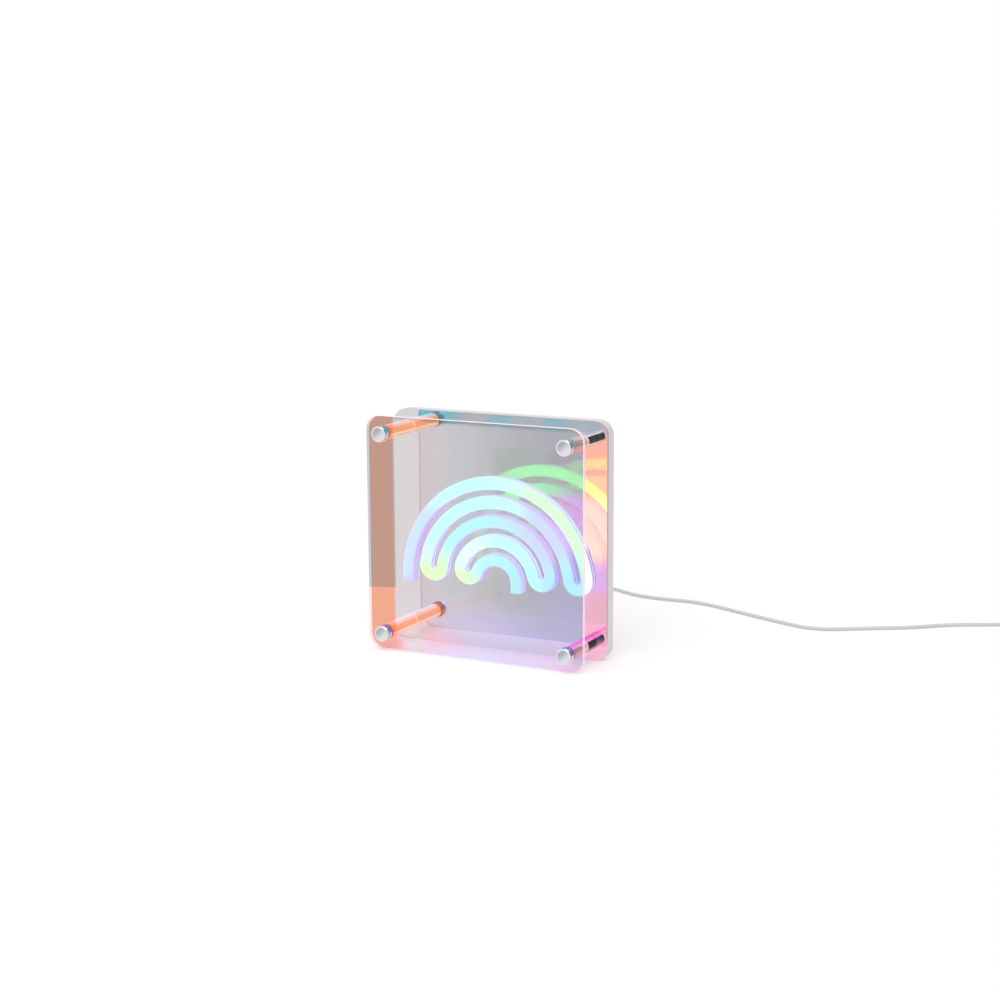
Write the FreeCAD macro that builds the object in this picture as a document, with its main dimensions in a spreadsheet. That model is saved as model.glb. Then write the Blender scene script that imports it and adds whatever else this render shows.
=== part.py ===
import FreeCAD, Part
import math
import os
import Sketcher

# Rainbow desk lamp: a serpentine light tube lies on a mirror, and a clear panel with an
# iridescent film stands in front of it on four stand-offs. X is right, +Y is back, Z is up,
# the origin is the middle of the footprint and all lengths are millimetres.

Vector = FreeCAD.Vector
Rotation = FreeCAD.Rotation

SIZES = {
    # plates
    "panel_width": 200.0,
    "panel_height": 200.0,
    "corner_radius": 12.0,
    "panel_thick": 3.0,
    "film_thick": 0.2,
    "film_margin": 0.6,
    "edge_bevel": 0.4,
    "plate_gap": 42.0,
    "mirror_thick": 3.0,
    "housing_depth": 10.0,
    "housing_wall": 2.0,
    "side_wall": 3.5,
    "rebate_width": 2.0,
    "cover_thick": 2.0,
    "cover_clearance": 0.2,
    # stand-offs
    "standoff_inset": 15.0,
    "cap_diameter": 13.5,
    "cap_proud": 6.0,
    "cap_dish_depth": 0.9,
    "cap_rim_width": 1.5,
    "cap_rim_bevel": 0.5,
    "cap_groove_depth": 0.7,
    "cap_groove_width": 0.9,
    "cap_groove_offset": 1.7,
    "cap_bore_depth": 3.4,
    "barrel_diameter": 12.5,
    "barrel_bevel": 0.5,
    "barrel_front_bore": 13.0,
    "barrel_rear_bore": 11.0,
    "panel_washer_thick": 0.5,
    "stud_diameter": 6.0,
    "stud_length": 18.0,
    "thread_clearance": 0.1,
    "hole_clearance": 0.5,
    "screw_diameter": 4.0,
    "screw_reach": 9.0,
    "screw_head_diameter": 7.4,
    "screw_head_height": 2.2,
    "rear_washer_diameter": 9.0,
    "rear_washer_thick": 0.6,
    # light tube
    "arc_centre_x": -0.5,
    "arc_centre_z": 58.0,
    "outer_arc_radius": 84.7,
    "arc_pitch": 16.35,
    "turn_height": 9.5,
    "leg_length": 4.0,
    "end_cap_length": 3.0,
    "tube_width": 10.8,
    "tube_depth": 6.0,
    "tube_side_height": 3.0,
    "channel_width": 6.4,
    "channel_depth": 2.2,
    "tape_width": 8.0,
    "tape_thick": 0.5,
    "strip_width": 5.0,
    "strip_thick": 0.3,
    "chip_length": 2.8,
    "chip_width": 3.5,
    "chip_height": 0.7,
    "chip_pitch": 16.6,
    # driver board and its wires
    "board_past_cord": 10.0,
    "board_above_wires": 4.5,
    "board_width": 44.0,
    "board_height": 22.0,
    "board_thick": 1.2,
    "board_boss_height": 1.5,
    "board_boss_diameter": 5.0,
    "board_hole_inset": 3.0,
    "board_hole_clearance": 0.2,
    "board_screw_diameter": 2.0,
    "board_screw_depth": 1.0,
    "board_screw_head_diameter": 3.8,
    "board_screw_head_height": 1.2,
    "connector_length": 6.0,
    "connector_width": 5.0,
    "connector_height": 2.6,
    "connector_setback": 1.0,
    "controller_length": 6.0,
    "controller_width": 5.0,
    "controller_height": 1.4,
    "controller_from_left": 15.0,
    "controller_from_bottom": 13.0,
    "inductor_diameter": 7.0,
    "inductor_height": 2.7,
    "inductor_from_left": 18.5,
    "inductor_from_bottom": 6.0,
    "wire_diameter": 1.0,
    "wire_spacing": 1.3,
    "wire_hole_diameter": 2.9,
    # slide switch
    "switch_from_left": 32.0,
    "switch_from_bottom": 11.0,
    "switch_wall": 1.2,
    "switch_height": 2.9,
    "switch_pocket_depth": 1.7,
    "switch_travel": 2.5,
    "slide_clearance": 0.3,
    "knob_foot_length": 4.0,
    "knob_foot_width": 2.6,
    "knob_foot_height": 0.8,
    "knob_stem_length": 2.4,
    "knob_stem_width": 1.8,
    "knob_recess": 0.3,
    # cover fasteners
    "boss_inset": 8.5,
    "boss_diameter": 6.0,
    "cover_screw_diameter": 2.2,
    "cover_screw_reach": 4.0,
    "cover_head_diameter": 4.4,
    "cover_head_height": 1.2,
    "bore_spare": 0.3,
    # cord, strain relief, tie and plug
    "cord_diameter": 3.0,
    "cord_exit_x": -62.0,
    "cord_exit_z": 13.0,
    "relief_flange": 8.0,
    "relief_flange_thick": 2.6,
    "relief_neck_diameter": 5.6,
    "relief_root_diameter": 7.0,
    "relief_tip_diameter": 4.4,
    "relief_length": 14.0,
    "straight_exit": 14.0,
    "coil_inner_radius": 11.5,
    "coil_pitch": 3.6,
    "tie_thick": 0.6,
    "tie_width": 6.0,
    "tie_clearance": 0.25,
    "tie_rounding": 2.0,
    "plug_width": 15.0,
    "plug_thick": 8.6,
    "plug_length": 26.0,
    "plug_rounding": 2.0,
    "plug_neck_diameter": 5.0,
    "plug_neck_length": 8.0,
    "shell_width": 12.0,
    "shell_thick": 4.5,
    "shell_length": 12.0,
    "shell_wall": 0.4,
    "tongue_thick": 1.8,
    "tongue_setback": 0.6,
}

ARC_COUNT = 5
COIL_TURNS_PER_LAYER = 3.5
STEPS_PER_TURN = 4
TOUCH = 0.001

doc = FreeCAD.newDocument("rainbow_lamp")
dims = doc.addObject("Spreadsheet::Sheet", "dims")
for row, (alias, size) in enumerate(SIZES.items(), start=1):
    dims.set(f"A{row}", alias)
    dims.set(f"B{row}", str(size))
    dims.setAlias(f"B{row}", alias)
doc.recompute()

# Depths of the stack, from the front of the caps to the back of the cover.
STACK_DEPTH = ("(dims.cap_proud + dims.panel_thick + dims.plate_gap"
               " + dims.mirror_thick + dims.housing_depth)")
CAP_Y = f"(-{STACK_DEPTH} / 2)"
PANEL_Y = f"({CAP_Y} + dims.cap_proud)"
FILM_Y = f"({PANEL_Y} + dims.panel_thick)"
WASHER_Y = f"({FILM_Y} + dims.film_thick)"
BARREL_Y = f"({WASHER_Y} + dims.panel_washer_thick)"
MIRROR_Y = f"({FILM_Y} + dims.plate_gap)"
HOUSING_Y = f"({MIRROR_Y} + dims.mirror_thick)"
INSIDE_Y = f"({HOUSING_Y} + dims.housing_wall)"
BACK_Y = f"({HOUSING_Y} + dims.housing_depth)"
COVER_Y = f"({BACK_Y} - dims.cover_thick)"
BARREL_LENGTH = f"({MIRROR_Y} - {BARREL_Y})"
TUBE_BACK_Y = f"({MIRROR_Y} - dims.tape_thick)"

# Corners of the stand-offs as seen from the front.
LEFT_X = "(dims.standoff_inset - dims.panel_width / 2)"
RIGHT_X = "(dims.panel_width / 2 - dims.standoff_inset)"
LOW_Z = "dims.standoff_inset"
HIGH_Z = "(dims.panel_height - dims.standoff_inset)"
STANDOFFS = {
    "ul": (LEFT_X, HIGH_Z),
    "ur": (RIGHT_X, HIGH_Z),
    "ll": (LEFT_X, LOW_Z),
    "lr": (RIGHT_X, LOW_Z),
}

ALONG_Y = Rotation(Vector(1, 0, 0), -90)
FACE_DOWN = Rotation(Vector(1, 0, 0), 180)
UPRIGHT = Rotation()

nodes = []


def value(expression):
    """Number that an expression of sheet sizes stands for."""
    return float(dims.evalExpression(expression))


def keep(thing, label):
    """Name a finished sub-part and list it for writing."""
    thing.Label = label
    nodes.append(thing)
    return thing


def place(thing, x, y, z, rotation=UPRIGHT):
    """Bind the position of an object to expressions."""
    thing.Placement = FreeCAD.Placement(Vector(), rotation)
    for axis, expression in zip("xyz", (x, y, z)):
        thing.setExpression(f"Placement.Base.{axis}", expression)


def bind(sketch, constraint, expression):
    """Add a dimension to a sketch and tie it to an expression."""
    index = sketch.addConstraint(constraint)
    sketch.setExpression(f"Constraints[{index}]", expression)


def new_body(label):
    """Empty body that becomes one sub-part."""
    return keep(doc.addObject("PartDesign::Body", label), label)


def new_sketch(body, name, role, offset="0", rotation=UPRIGHT):
    """Sketch on an origin plane of its body, moved along the plane's normal."""
    sketch = body.newObject("Sketcher::SketchObject", name)
    plane = next(feature for feature in body.Origin.OriginFeatures if feature.Role == role)
    sketch.AttachmentSupport = [(plane, "")]
    sketch.MapMode = "FlatFace"
    sketch.AttachmentOffset = FreeCAD.Placement(Vector(), rotation)
    sketch.setExpression("AttachmentOffset.Base.z", offset)
    return sketch


def front_sketch(body, name, depth):
    """Sketch seen from the front, in the XZ plane at a given depth."""
    return new_sketch(body, name, "XZ_Plane", f"-({depth})")


def outline(sketch, corners, arcs=None):
    """Closed outline through corners; arcs gives the radius of a side that turns left."""
    arcs = arcs or {}
    points = [Vector(value(across), value(along), 0) for across, along in corners]
    first = sketch.GeometryCount
    count = len(points)
    for side, start in enumerate(points):
        finish = points[(side + 1) % count]
        if side in arcs:
            chord = finish - start
            radius = value(arcs[side])
            rise = radius - math.sqrt(radius ** 2 - chord.Length ** 2 / 4)
            outward = Vector(chord.y, -chord.x, 0).normalize()
            sketch.addGeometry(Part.Arc(start, start + chord / 2 + outward * rise, finish))
        else:
            sketch.addGeometry(Part.LineSegment(start, finish))
    for side in range(count):
        following = (side + 1) % count
        sketch.addConstraint(Sketcher.Constraint("Coincident", first + side, 2, first + following, 1))
    for side, (across, along) in enumerate(corners):
        bind(sketch, Sketcher.Constraint("DistanceX", -1, 1, first + side, 1, points[side].x), across)
        bind(sketch, Sketcher.Constraint("DistanceY", -1, 1, first + side, 1, points[side].y), along)
    for side, radius in arcs.items():
        bind(sketch, Sketcher.Constraint("Radius", first + side, value(radius)), radius)


def rectangle(sketch, left, bottom, right, top):
    """Rectangle between two corners."""
    outline(sketch, [(left, bottom), (right, bottom), (right, top), (left, top)])


def rounded_rectangle(sketch, left, bottom, right, top, radius):
    """Rectangle between two corners, with round corners."""
    corners = [
        (f"{left} + {radius}", bottom),
        (f"{right} - {radius}", bottom),
        (right, f"{bottom} + {radius}"),
        (right, f"{top} - {radius}"),
        (f"{right} - {radius}", top),
        (f"{left} + {radius}", top),
        (left, f"{top} - {radius}"),
        (left, f"{bottom} + {radius}"),
    ]
    outline(sketch, corners, {1: radius, 3: radius, 5: radius, 7: radius})


def rounded_plate(sketch, inset, radius):
    """Outline of the lamp's square plates, drawn in by an inset."""
    left = f"(({inset}) - dims.panel_width / 2)"
    right = f"(dims.panel_width / 2 - ({inset}))"
    bottom = f"({inset})"
    top = f"(dims.panel_height - ({inset}))"
    rounded_rectangle(sketch, left, bottom, right, top, radius)


def circle(sketch, across, along, diameter):
    """Circle at a place given by expressions."""
    middle = Vector(value(across), value(along), 0)
    index = sketch.addGeometry(Part.Circle(middle, Vector(0, 0, 1), value(diameter) / 2))
    bind(sketch, Sketcher.Constraint("DistanceX", -1, 1, index, 3, middle.x), across)
    bind(sketch, Sketcher.Constraint("DistanceY", -1, 1, index, 3, middle.y), along)
    bind(sketch, Sketcher.Constraint("Diameter", index, value(diameter)), diameter)


def pad(body, sketch, length, backwards=False):
    """Raise a sketch into a solid."""
    feature = body.newObject("PartDesign::Pad", sketch.Name + "_pad")
    feature.Profile = sketch
    feature.setExpression("Length", length)
    feature.Reversed = backwards
    doc.recompute()
    return feature


def pocket(body, sketch, depth, forwards=False):
    """Cut a sketch into a solid, towards the back unless forwards is set, and see that it cuts."""
    volume_before = body.Shape.Volume
    feature = body.newObject("PartDesign::Pocket", sketch.Name + "_pocket")
    feature.Profile = sketch
    feature.setExpression("Length", depth)
    feature.Reversed = forwards
    doc.recompute()
    if not body.Shape.Volume < volume_before:
        raise RuntimeError(f"{feature.Name} cuts nothing")
    return feature


def revolve(body, sketch):
    """Turn a profile in the XY plane about the body's Y axis."""
    feature = body.newObject("PartDesign::Revolution", sketch.Name + "_turned")
    feature.Profile = sketch
    feature.ReferenceAxis = (sketch, ["V_Axis"])
    feature.Angle = 360
    doc.recompute()
    return feature


def cylinder(name, diameter, length, x, y, z, rotation=ALONG_Y):
    """Cylinder that runs back from a point."""
    thing = doc.addObject("Part::Cylinder", name)
    thing.setExpression("Radius", f"({diameter}) / 2")
    thing.setExpression("Height", length)
    place(thing, x, y, z, rotation)
    return thing


def box(name, length, depth, height, x, y, z):
    """Box along X, Y and Z from its lowest corner."""
    thing = doc.addObject("Part::Box", name)
    thing.setExpression("Length", length)
    thing.setExpression("Width", depth)
    thing.setExpression("Height", height)
    place(thing, x, y, z)
    return thing


def fuse(name, members):
    """One solid made of members that touch."""
    thing = doc.addObject("Part::MultiFuse", name)
    thing.Shapes = members
    thing.Refine = True
    return thing


def cut(name, base, tool):
    """Base with the tool taken away."""
    thing = doc.addObject("Part::Cut", name)
    thing.Base = base
    thing.Tool = tool
    return thing


def group(label, members):
    """Separate solids that share one node."""
    thing = doc.addObject("Part::Compound", label)
    thing.Links = members
    return keep(thing, label)


def ring(name, outer, inner, thick, x, y, z):
    """Flat washer that lies in the XZ plane."""
    disc = cylinder(name + "_disc", outer, thick, x, y, z)
    hole = cylinder(name + "_hole", inner, thick, x, y, z)
    return cut(name, disc, hole)


def screw(name, head_diameter, head_height, shank_diameter, shank_length, x, y, z):
    """Cheese-head screw driven forwards: y is the plane under its head."""
    head = cylinder(name + "_head", head_diameter, head_height, x, y, z)
    shank = cylinder(name + "_shank", shank_diameter, shank_length, x, f"{y} - ({shank_length})", z)
    return fuse(name, [head, shank])


STUD_HOLE = "(dims.stud_diameter + 2 * dims.hole_clearance)"
SCREW_HOLE = "(dims.screw_diameter + 2 * dims.hole_clearance)"
STUD_BORE = "(dims.stud_diameter + 2 * dims.thread_clearance)"
SCREW_BORE = "(dims.screw_diameter + 2 * dims.thread_clearance)"

TUBE_START_X = "(dims.arc_centre_x - dims.outer_arc_radius)"
TUBE_END_X = f"(dims.arc_centre_x + dims.outer_arc_radius - {ARC_COUNT - 1} * dims.arc_pitch)"
TUBE_FOOT_Z = "(dims.arc_centre_z - dims.leg_length)"
WIRE_HOLE_Z = f"({TUBE_FOOT_Z} - dims.end_cap_length / 2)"

COVER_SCREWS = [
    ("(dims.boss_inset - dims.panel_width / 2)", "dims.panel_height / 2"),
    ("(dims.panel_width / 2 - dims.boss_inset)", "dims.panel_height / 2"),
    ("0", "dims.boss_inset"),
    ("0", "(dims.panel_height - dims.boss_inset)"),
]

BOARD_LEFT = "(dims.cord_exit_x - dims.board_past_cord)"
BOARD_BOTTOM = f"({WIRE_HOLE_Z} + dims.board_above_wires - dims.board_height)"
BOARD_Y = f"({INSIDE_Y} + dims.board_boss_height)"
BOARD_BACK_Y = f"({BOARD_Y} + dims.board_thick)"
BOARD_SCREWS = [
    (f"({BOARD_LEFT} + dims.board_hole_inset)", f"({BOARD_BOTTOM} + dims.board_hole_inset)"),
    (f"({BOARD_LEFT} + dims.board_width - dims.board_hole_inset)",
     f"({BOARD_BOTTOM} + dims.board_height - dims.board_hole_inset)"),
]

WIRE_Y = f"({BOARD_BACK_Y} + dims.connector_height / 2)"

SWITCH_X = f"({BOARD_LEFT} + dims.switch_from_left)"
SWITCH_Z = f"({BOARD_BOTTOM} + dims.switch_from_bottom)"


def make_front_panel():
    """Clear plate with bevelled edges and four holes for the studs."""
    body = new_body("front_panel")
    sketch = front_sketch(body, "panel_outline", PANEL_Y)
    rounded_plate(sketch, "0", "dims.corner_radius")
    for x, z in STANDOFFS.values():
        circle(sketch, x, z, STUD_HOLE)
    plate = pad(body, sketch, "dims.panel_thick", backwards=True)
    bevel = body.newObject("PartDesign::Chamfer", "panel_bevel")
    bevel.Base = (plate, rim_edges(plate))
    bevel.setExpression("Size", "dims.edge_bevel")
    body.Tip = bevel


def rim_edges(feature):
    """Names of the edges round both faces of a plate, without its holes."""
    limits = feature.Shape.BoundBox
    names = []
    for number, edge in enumerate(feature.Shape.Edges, start=1):
        size = edge.BoundBox
        lies_flat = size.YLength < TOUCH
        at_side = min(size.XMin - limits.XMin, limits.XMax - size.XMax) < TOUCH
        at_top_or_bottom = min(size.ZMin - limits.ZMin, limits.ZMax - size.ZMax) < TOUCH
        if lies_flat and (at_side or at_top_or_bottom):
            names.append(f"Edge{number}")
    return names


def make_iridescent_film():
    """Thin film on the back of the panel."""
    body = new_body("iridescent_film")
    sketch = front_sketch(body, "film_outline", FILM_Y)
    rounded_plate(sketch, "dims.film_margin", "dims.corner_radius")
    for x, z in STANDOFFS.values():
        circle(sketch, x, z, STUD_HOLE)
    pad(body, sketch, "dims.film_thick", backwards=True)


def make_mirror_panel():
    """Mirror plate with four screw holes and the wire hole under the foot of the tube."""
    body = new_body("mirror_panel")
    sketch = front_sketch(body, "mirror_outline", MIRROR_Y)
    rounded_plate(sketch, "0", "dims.corner_radius")
    for x, z in STANDOFFS.values():
        circle(sketch, x, z, SCREW_HOLE)
    circle(sketch, TUBE_START_X, WIRE_HOLE_Z, "dims.wire_hole_diameter")
    pad(body, sketch, "dims.mirror_thick", backwards=True)


def make_rear_housing():
    """Shallow tray: front wall, side walls with a rebate, bosses for cover and board."""
    body = new_body("rear_housing")
    block = front_sketch(body, "housing_outline", HOUSING_Y)
    rounded_plate(block, "0", "dims.corner_radius")
    pad(body, block, "dims.housing_depth", backwards=True)
    inside = front_sketch(body, "housing_inside", INSIDE_Y)
    rounded_plate(inside, "dims.side_wall", "(dims.corner_radius - dims.side_wall)")
    pocket(body, inside, f"{BACK_Y} - {INSIDE_Y}")
    rebate_inset = "(dims.side_wall - dims.rebate_width)"
    rebate = front_sketch(body, "housing_rebate", COVER_Y)
    rounded_plate(rebate, rebate_inset, f"(dims.corner_radius - {rebate_inset})")
    pocket(body, rebate, "dims.cover_thick")
    bosses = front_sketch(body, "cover_bosses", INSIDE_Y)
    for x, z in COVER_SCREWS:
        circle(bosses, x, z, "dims.boss_diameter")
    pad(body, bosses, f"{COVER_Y} - {INSIDE_Y}", backwards=True)
    posts = front_sketch(body, "board_bosses", INSIDE_Y)
    for x, z in BOARD_SCREWS:
        circle(posts, x, z, "dims.board_boss_diameter")
    pad(body, posts, "dims.board_boss_height", backwards=True)
    through = front_sketch(body, "housing_holes", HOUSING_Y)
    for x, z in STANDOFFS.values():
        circle(through, x, z, SCREW_HOLE)
    circle(through, TUBE_START_X, WIRE_HOLE_Z, "dims.wire_hole_diameter")
    pocket(body, through, "dims.housing_wall")
    cover_bore = "(dims.cover_screw_reach + dims.bore_spare)"
    tapped = front_sketch(body, "cover_screw_bores", f"({COVER_Y} - {cover_bore})")
    for x, z in COVER_SCREWS:
        circle(tapped, x, z, "(dims.cover_screw_diameter + 2 * dims.thread_clearance)")
    pocket(body, tapped, cover_bore)
    board_bore = "(dims.board_boss_height + dims.board_screw_depth + dims.bore_spare)"
    posts_tapped = front_sketch(body, "board_screw_bores", f"({BOARD_Y} - {board_bore})")
    for x, z in BOARD_SCREWS:
        circle(posts_tapped, x, z, "(dims.board_screw_diameter + 2 * dims.thread_clearance)")
    pocket(body, posts_tapped, board_bore)


def make_back_cover():
    """Plate in the rebate of the tray, with counterbored screw holes, knob slot and cord hole."""
    body = new_body("back_cover")
    inset = "(dims.side_wall - dims.rebate_width + dims.cover_clearance)"
    sketch = front_sketch(body, "cover_outline", COVER_Y)
    rounded_plate(sketch, inset, f"(dims.corner_radius - {inset})")
    for x, z in COVER_SCREWS:
        circle(sketch, x, z, "(dims.cover_screw_diameter + 2 * dims.hole_clearance)")
    circle(sketch, "dims.cord_exit_x", "dims.cord_exit_z",
           "(dims.relief_neck_diameter + 2 * dims.cover_clearance)")
    half_width = "(dims.knob_stem_width / 2 + dims.slide_clearance)"
    rectangle(sketch,
              f"{SWITCH_X} - dims.knob_stem_length / 2 - dims.slide_clearance",
              f"{SWITCH_Z} - {half_width}",
              f"{SWITCH_X} + dims.knob_stem_length / 2 + dims.switch_travel + dims.slide_clearance",
              f"{SWITCH_Z} + {half_width}")
    pad(body, sketch, "dims.cover_thick", backwards=True)
    sunk = front_sketch(body, "cover_counterbores", f"({BACK_Y} - dims.cover_head_height)")
    for x, z in COVER_SCREWS:
        circle(sunk, x, z, "(dims.cover_head_diameter + 2 * dims.cover_clearance)")
    pocket(body, sunk, "dims.cover_head_height")


def make_standoff_cap(corner, x, z):
    """Turned cap with a dished face, a groove round its rim and a tapped hole behind."""
    body = new_body(f"standoff_cap_{corner}")
    radius = "(dims.cap_diameter / 2)"
    dish = f"({radius} - dims.cap_rim_width)"
    groove_end = "(dims.cap_groove_offset + dims.cap_groove_width)"
    bore_end = "(dims.cap_proud - dims.cap_bore_depth)"
    profile = [
        ("0", "dims.cap_dish_depth"),
        ("0", bore_end),
        (f"{STUD_BORE} / 2", bore_end),
        (f"{STUD_BORE} / 2", "dims.cap_proud"),
        (radius, "dims.cap_proud"),
        (radius, groove_end),
        (f"{radius} - dims.cap_groove_depth", groove_end),
        (f"{radius} - dims.cap_groove_depth", "dims.cap_groove_offset"),
        (radius, "dims.cap_groove_offset"),
        (radius, "dims.cap_rim_bevel"),
        (f"{radius} - dims.cap_rim_bevel", "0"),
        (dish, "0"),
    ]
    sketch = new_sketch(body, f"cap_profile_{corner}", "XY_Plane")
    dish_curve = f"({dish} ^ 2 + dims.cap_dish_depth ^ 2) / (2 * dims.cap_dish_depth)"
    outline(sketch, profile, {len(profile) - 1: dish_curve})
    revolve(body, sketch)
    place(body, x, CAP_Y, z)


def make_standoff_barrel(corner, x, z):
    """Turned barrel with bevelled ends, tapped for the stud in front and the screw behind."""
    body = new_body(f"standoff_barrel_{corner}")
    radius = "(dims.barrel_diameter / 2)"
    profile = [
        ("0", "dims.barrel_front_bore"),
        ("0", f"{BARREL_LENGTH} - dims.barrel_rear_bore"),
        (f"{SCREW_BORE} / 2", f"{BARREL_LENGTH} - dims.barrel_rear_bore"),
        (f"{SCREW_BORE} / 2", BARREL_LENGTH),
        (f"{radius} - dims.barrel_bevel", BARREL_LENGTH),
        (radius, f"{BARREL_LENGTH} - dims.barrel_bevel"),
        (radius, "dims.barrel_bevel"),
        (f"{radius} - dims.barrel_bevel", "0"),
        (f"{STUD_BORE} / 2", "0"),
        (f"{STUD_BORE} / 2", "dims.barrel_front_bore"),
    ]
    sketch = new_sketch(body, f"barrel_profile_{corner}", "XY_Plane")
    outline(sketch, profile)
    revolve(body, sketch)
    place(body, x, BARREL_Y, z)


def make_standoff_fasteners():
    """Washers, studs and rear screws, four of each."""
    washers = []
    studs = []
    rear_washers = []
    rear_screws = []
    stud_y = f"({CAP_Y} + dims.cap_proud - dims.cap_bore_depth)"
    head_y = f"({INSIDE_Y} + dims.rear_washer_thick)"
    shank = "(dims.rear_washer_thick + dims.housing_wall + dims.mirror_thick + dims.screw_reach)"
    for corner, (x, z) in STANDOFFS.items():
        washers.append(ring(f"panel_washer_{corner}", "dims.barrel_diameter", STUD_HOLE,
                            "dims.panel_washer_thick", x, WASHER_Y, z))
        studs.append(cylinder(f"stud_{corner}", "dims.stud_diameter", "dims.stud_length", x, stud_y, z))
        rear_washers.append(ring(f"rear_washer_{corner}", "dims.rear_washer_diameter", SCREW_HOLE,
                                 "dims.rear_washer_thick", x, INSIDE_Y, z))
        rear_screws.append(screw(f"rear_screw_{corner}", "dims.screw_head_diameter",
                                 "dims.screw_head_height", "dims.screw_diameter", shank, x, head_y, z))
    group("panel_washers", washers)
    group("standoff_studs", studs)
    group("rear_washers", rear_washers)
    group("rear_screws", rear_screws)


def make_light_path():
    """Centreline of the tube: concentric arcs joined by half-circle turns, with two short legs."""
    outer_radius = value("dims.outer_arc_radius")
    pitch = value("dims.arc_pitch")
    centre = Vector(value("dims.arc_centre_x"), value(TUBE_BACK_Y), value("dims.arc_centre_z"))
    leg = Vector(0, 0, value("dims.leg_length"))

    def on_arc(radius, angle):
        return centre + Vector(radius * math.cos(angle), 0, radius * math.sin(angle))

    angle = math.pi
    edges = [Part.LineSegment(on_arc(outer_radius, angle) - leg, on_arc(outer_radius, angle))]
    for number in range(ARC_COUNT):
        radius = outer_radius - number * pitch
        rightwards = number % 2 == 0
        turn_radius = radius - pitch / 2
        is_last = number == ARC_COUNT - 1
        lift = 0 if is_last else math.asin(value("dims.turn_height") / turn_radius)
        finish = lift if rightwards else math.pi - lift
        edges.append(Part.Arc(on_arc(radius, angle),
                              on_arc(radius, (angle + finish) / 2),
                              on_arc(radius, finish)))
        if not is_last:
            heading = finish - math.pi / 2 if rightwards else finish + math.pi / 2
            bulge = Vector(math.cos(heading), 0, math.sin(heading)) * (pitch / 2)
            edges.append(Part.Arc(on_arc(radius, finish),
                                  on_arc(turn_radius, finish) + bulge,
                                  on_arc(radius - pitch, finish)))
        angle = finish
    inner_radius = outer_radius - (ARC_COUNT - 1) * pitch
    edges.append(Part.LineSegment(on_arc(inner_radius, angle), on_arc(inner_radius, angle) - leg))
    path = doc.addObject("Part::Feature", "light_path")
    path.Shape = Part.Wire([edge.toShape() for edge in edges])
    return path


def foot_sketch(name):
    """Sketch across the foot of the tube: its second axis points to the front."""
    sketch = doc.addObject("Sketcher::SketchObject", name)
    place(sketch, TUBE_START_X, TUBE_BACK_Y, TUBE_FOOT_Z, FACE_DOWN)
    return sketch


def sweep(label, profile, path):
    """Solid of one profile carried along a path."""
    thing = doc.addObject("Part::Sweep", label)
    thing.Sections = [profile]
    thing.Spine = (path, [f"Edge{number}" for number in range(1, len(path.Shape.Edges) + 1)])
    thing.Solid = True
    thing.Frenet = False
    return keep(thing, label)


HALF_TUBE = "(dims.tube_width / 2)"
DOME_RISE = "(dims.tube_depth - dims.tube_side_height)"
DOME_RADIUS = f"({HALF_TUBE} ^ 2 + {DOME_RISE} ^ 2) / (2 * {DOME_RISE})"


def make_neon_tube(path):
    """Domed silicone tube with a channel along its flat back."""
    half_channel = "(dims.channel_width / 2)"
    profile = foot_sketch("tube_profile")
    corners = [
        (f"-{HALF_TUBE}", "0"),
        (f"-{half_channel}", "0"),
        (f"-{half_channel}", "dims.channel_depth"),
        (half_channel, "dims.channel_depth"),
        (half_channel, "0"),
        (HALF_TUBE, "0"),
        (HALF_TUBE, "dims.tube_side_height"),
        (f"-{HALF_TUBE}", "dims.tube_side_height"),
    ]
    dome_side = 6
    outline(profile, corners, {dome_side: DOME_RADIUS})
    doc.recompute()
    return sweep("neon_tube", profile, path)


def make_tube_tape(path):
    """Adhesive strip between the tube and the mirror."""
    profile = foot_sketch("tape_profile")
    rectangle(profile, "-dims.tape_width / 2", "-dims.tape_thick", "dims.tape_width / 2", "0")
    doc.recompute()
    sweep("tube_tape", profile, path)


def make_led_strip(path):
    """Flexible circuit that lies in the channel on the tape."""
    profile = foot_sketch("strip_profile")
    rectangle(profile, "-dims.strip_width / 2", "0", "dims.strip_width / 2", "dims.strip_thick")
    doc.recompute()
    sweep("led_strip", profile, path)


def make_led_chips(path):
    """Light-emitting chips at an even pitch along the strip."""
    length = value("dims.chip_length")
    width = value("dims.chip_width")
    height = value("dims.chip_height")
    pitch = value("dims.chip_pitch")
    strip_front = value("dims.strip_thick")
    chips = []
    travelled = 0.0
    next_chip = pitch / 2
    for edge in path.Shape.OrderedEdges:
        while next_chip < travelled + edge.Length:
            along = edge.getParameterByLength(next_chip - travelled)
            spot = edge.valueAt(along)
            heading = edge.tangentAt(along)
            chip = Part.makeBox(length, height, width, Vector(-length / 2, -strip_front - height, -width / 2))
            chip.rotate(Vector(), Vector(0, 1, 0), -math.degrees(math.atan2(heading.z, heading.x)))
            chip.translate(spot)
            chips.append(chip)
            next_chip += pitch
        travelled += edge.Length
    thing = doc.addObject("Part::Feature", "led_chips")
    thing.Shape = Part.makeCompound(chips)
    keep(thing, "led_chips")


def make_tube_cap(label, x):
    """Closed end of the tube, with the tube's outline."""
    body = new_body(label)
    sketch = new_sketch(body, f"{label}_outline", "XY_Plane", rotation=FACE_DOWN)
    corners = [
        (f"-{HALF_TUBE}", "0"),
        (HALF_TUBE, "0"),
        (HALF_TUBE, "dims.tube_side_height"),
        (f"-{HALF_TUBE}", "dims.tube_side_height"),
    ]
    dome_side = 2
    outline(sketch, corners, {dome_side: DOME_RADIUS})
    pad(body, sketch, "dims.end_cap_length")
    place(body, x, TUBE_BACK_Y, TUBE_FOOT_Z)


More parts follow.
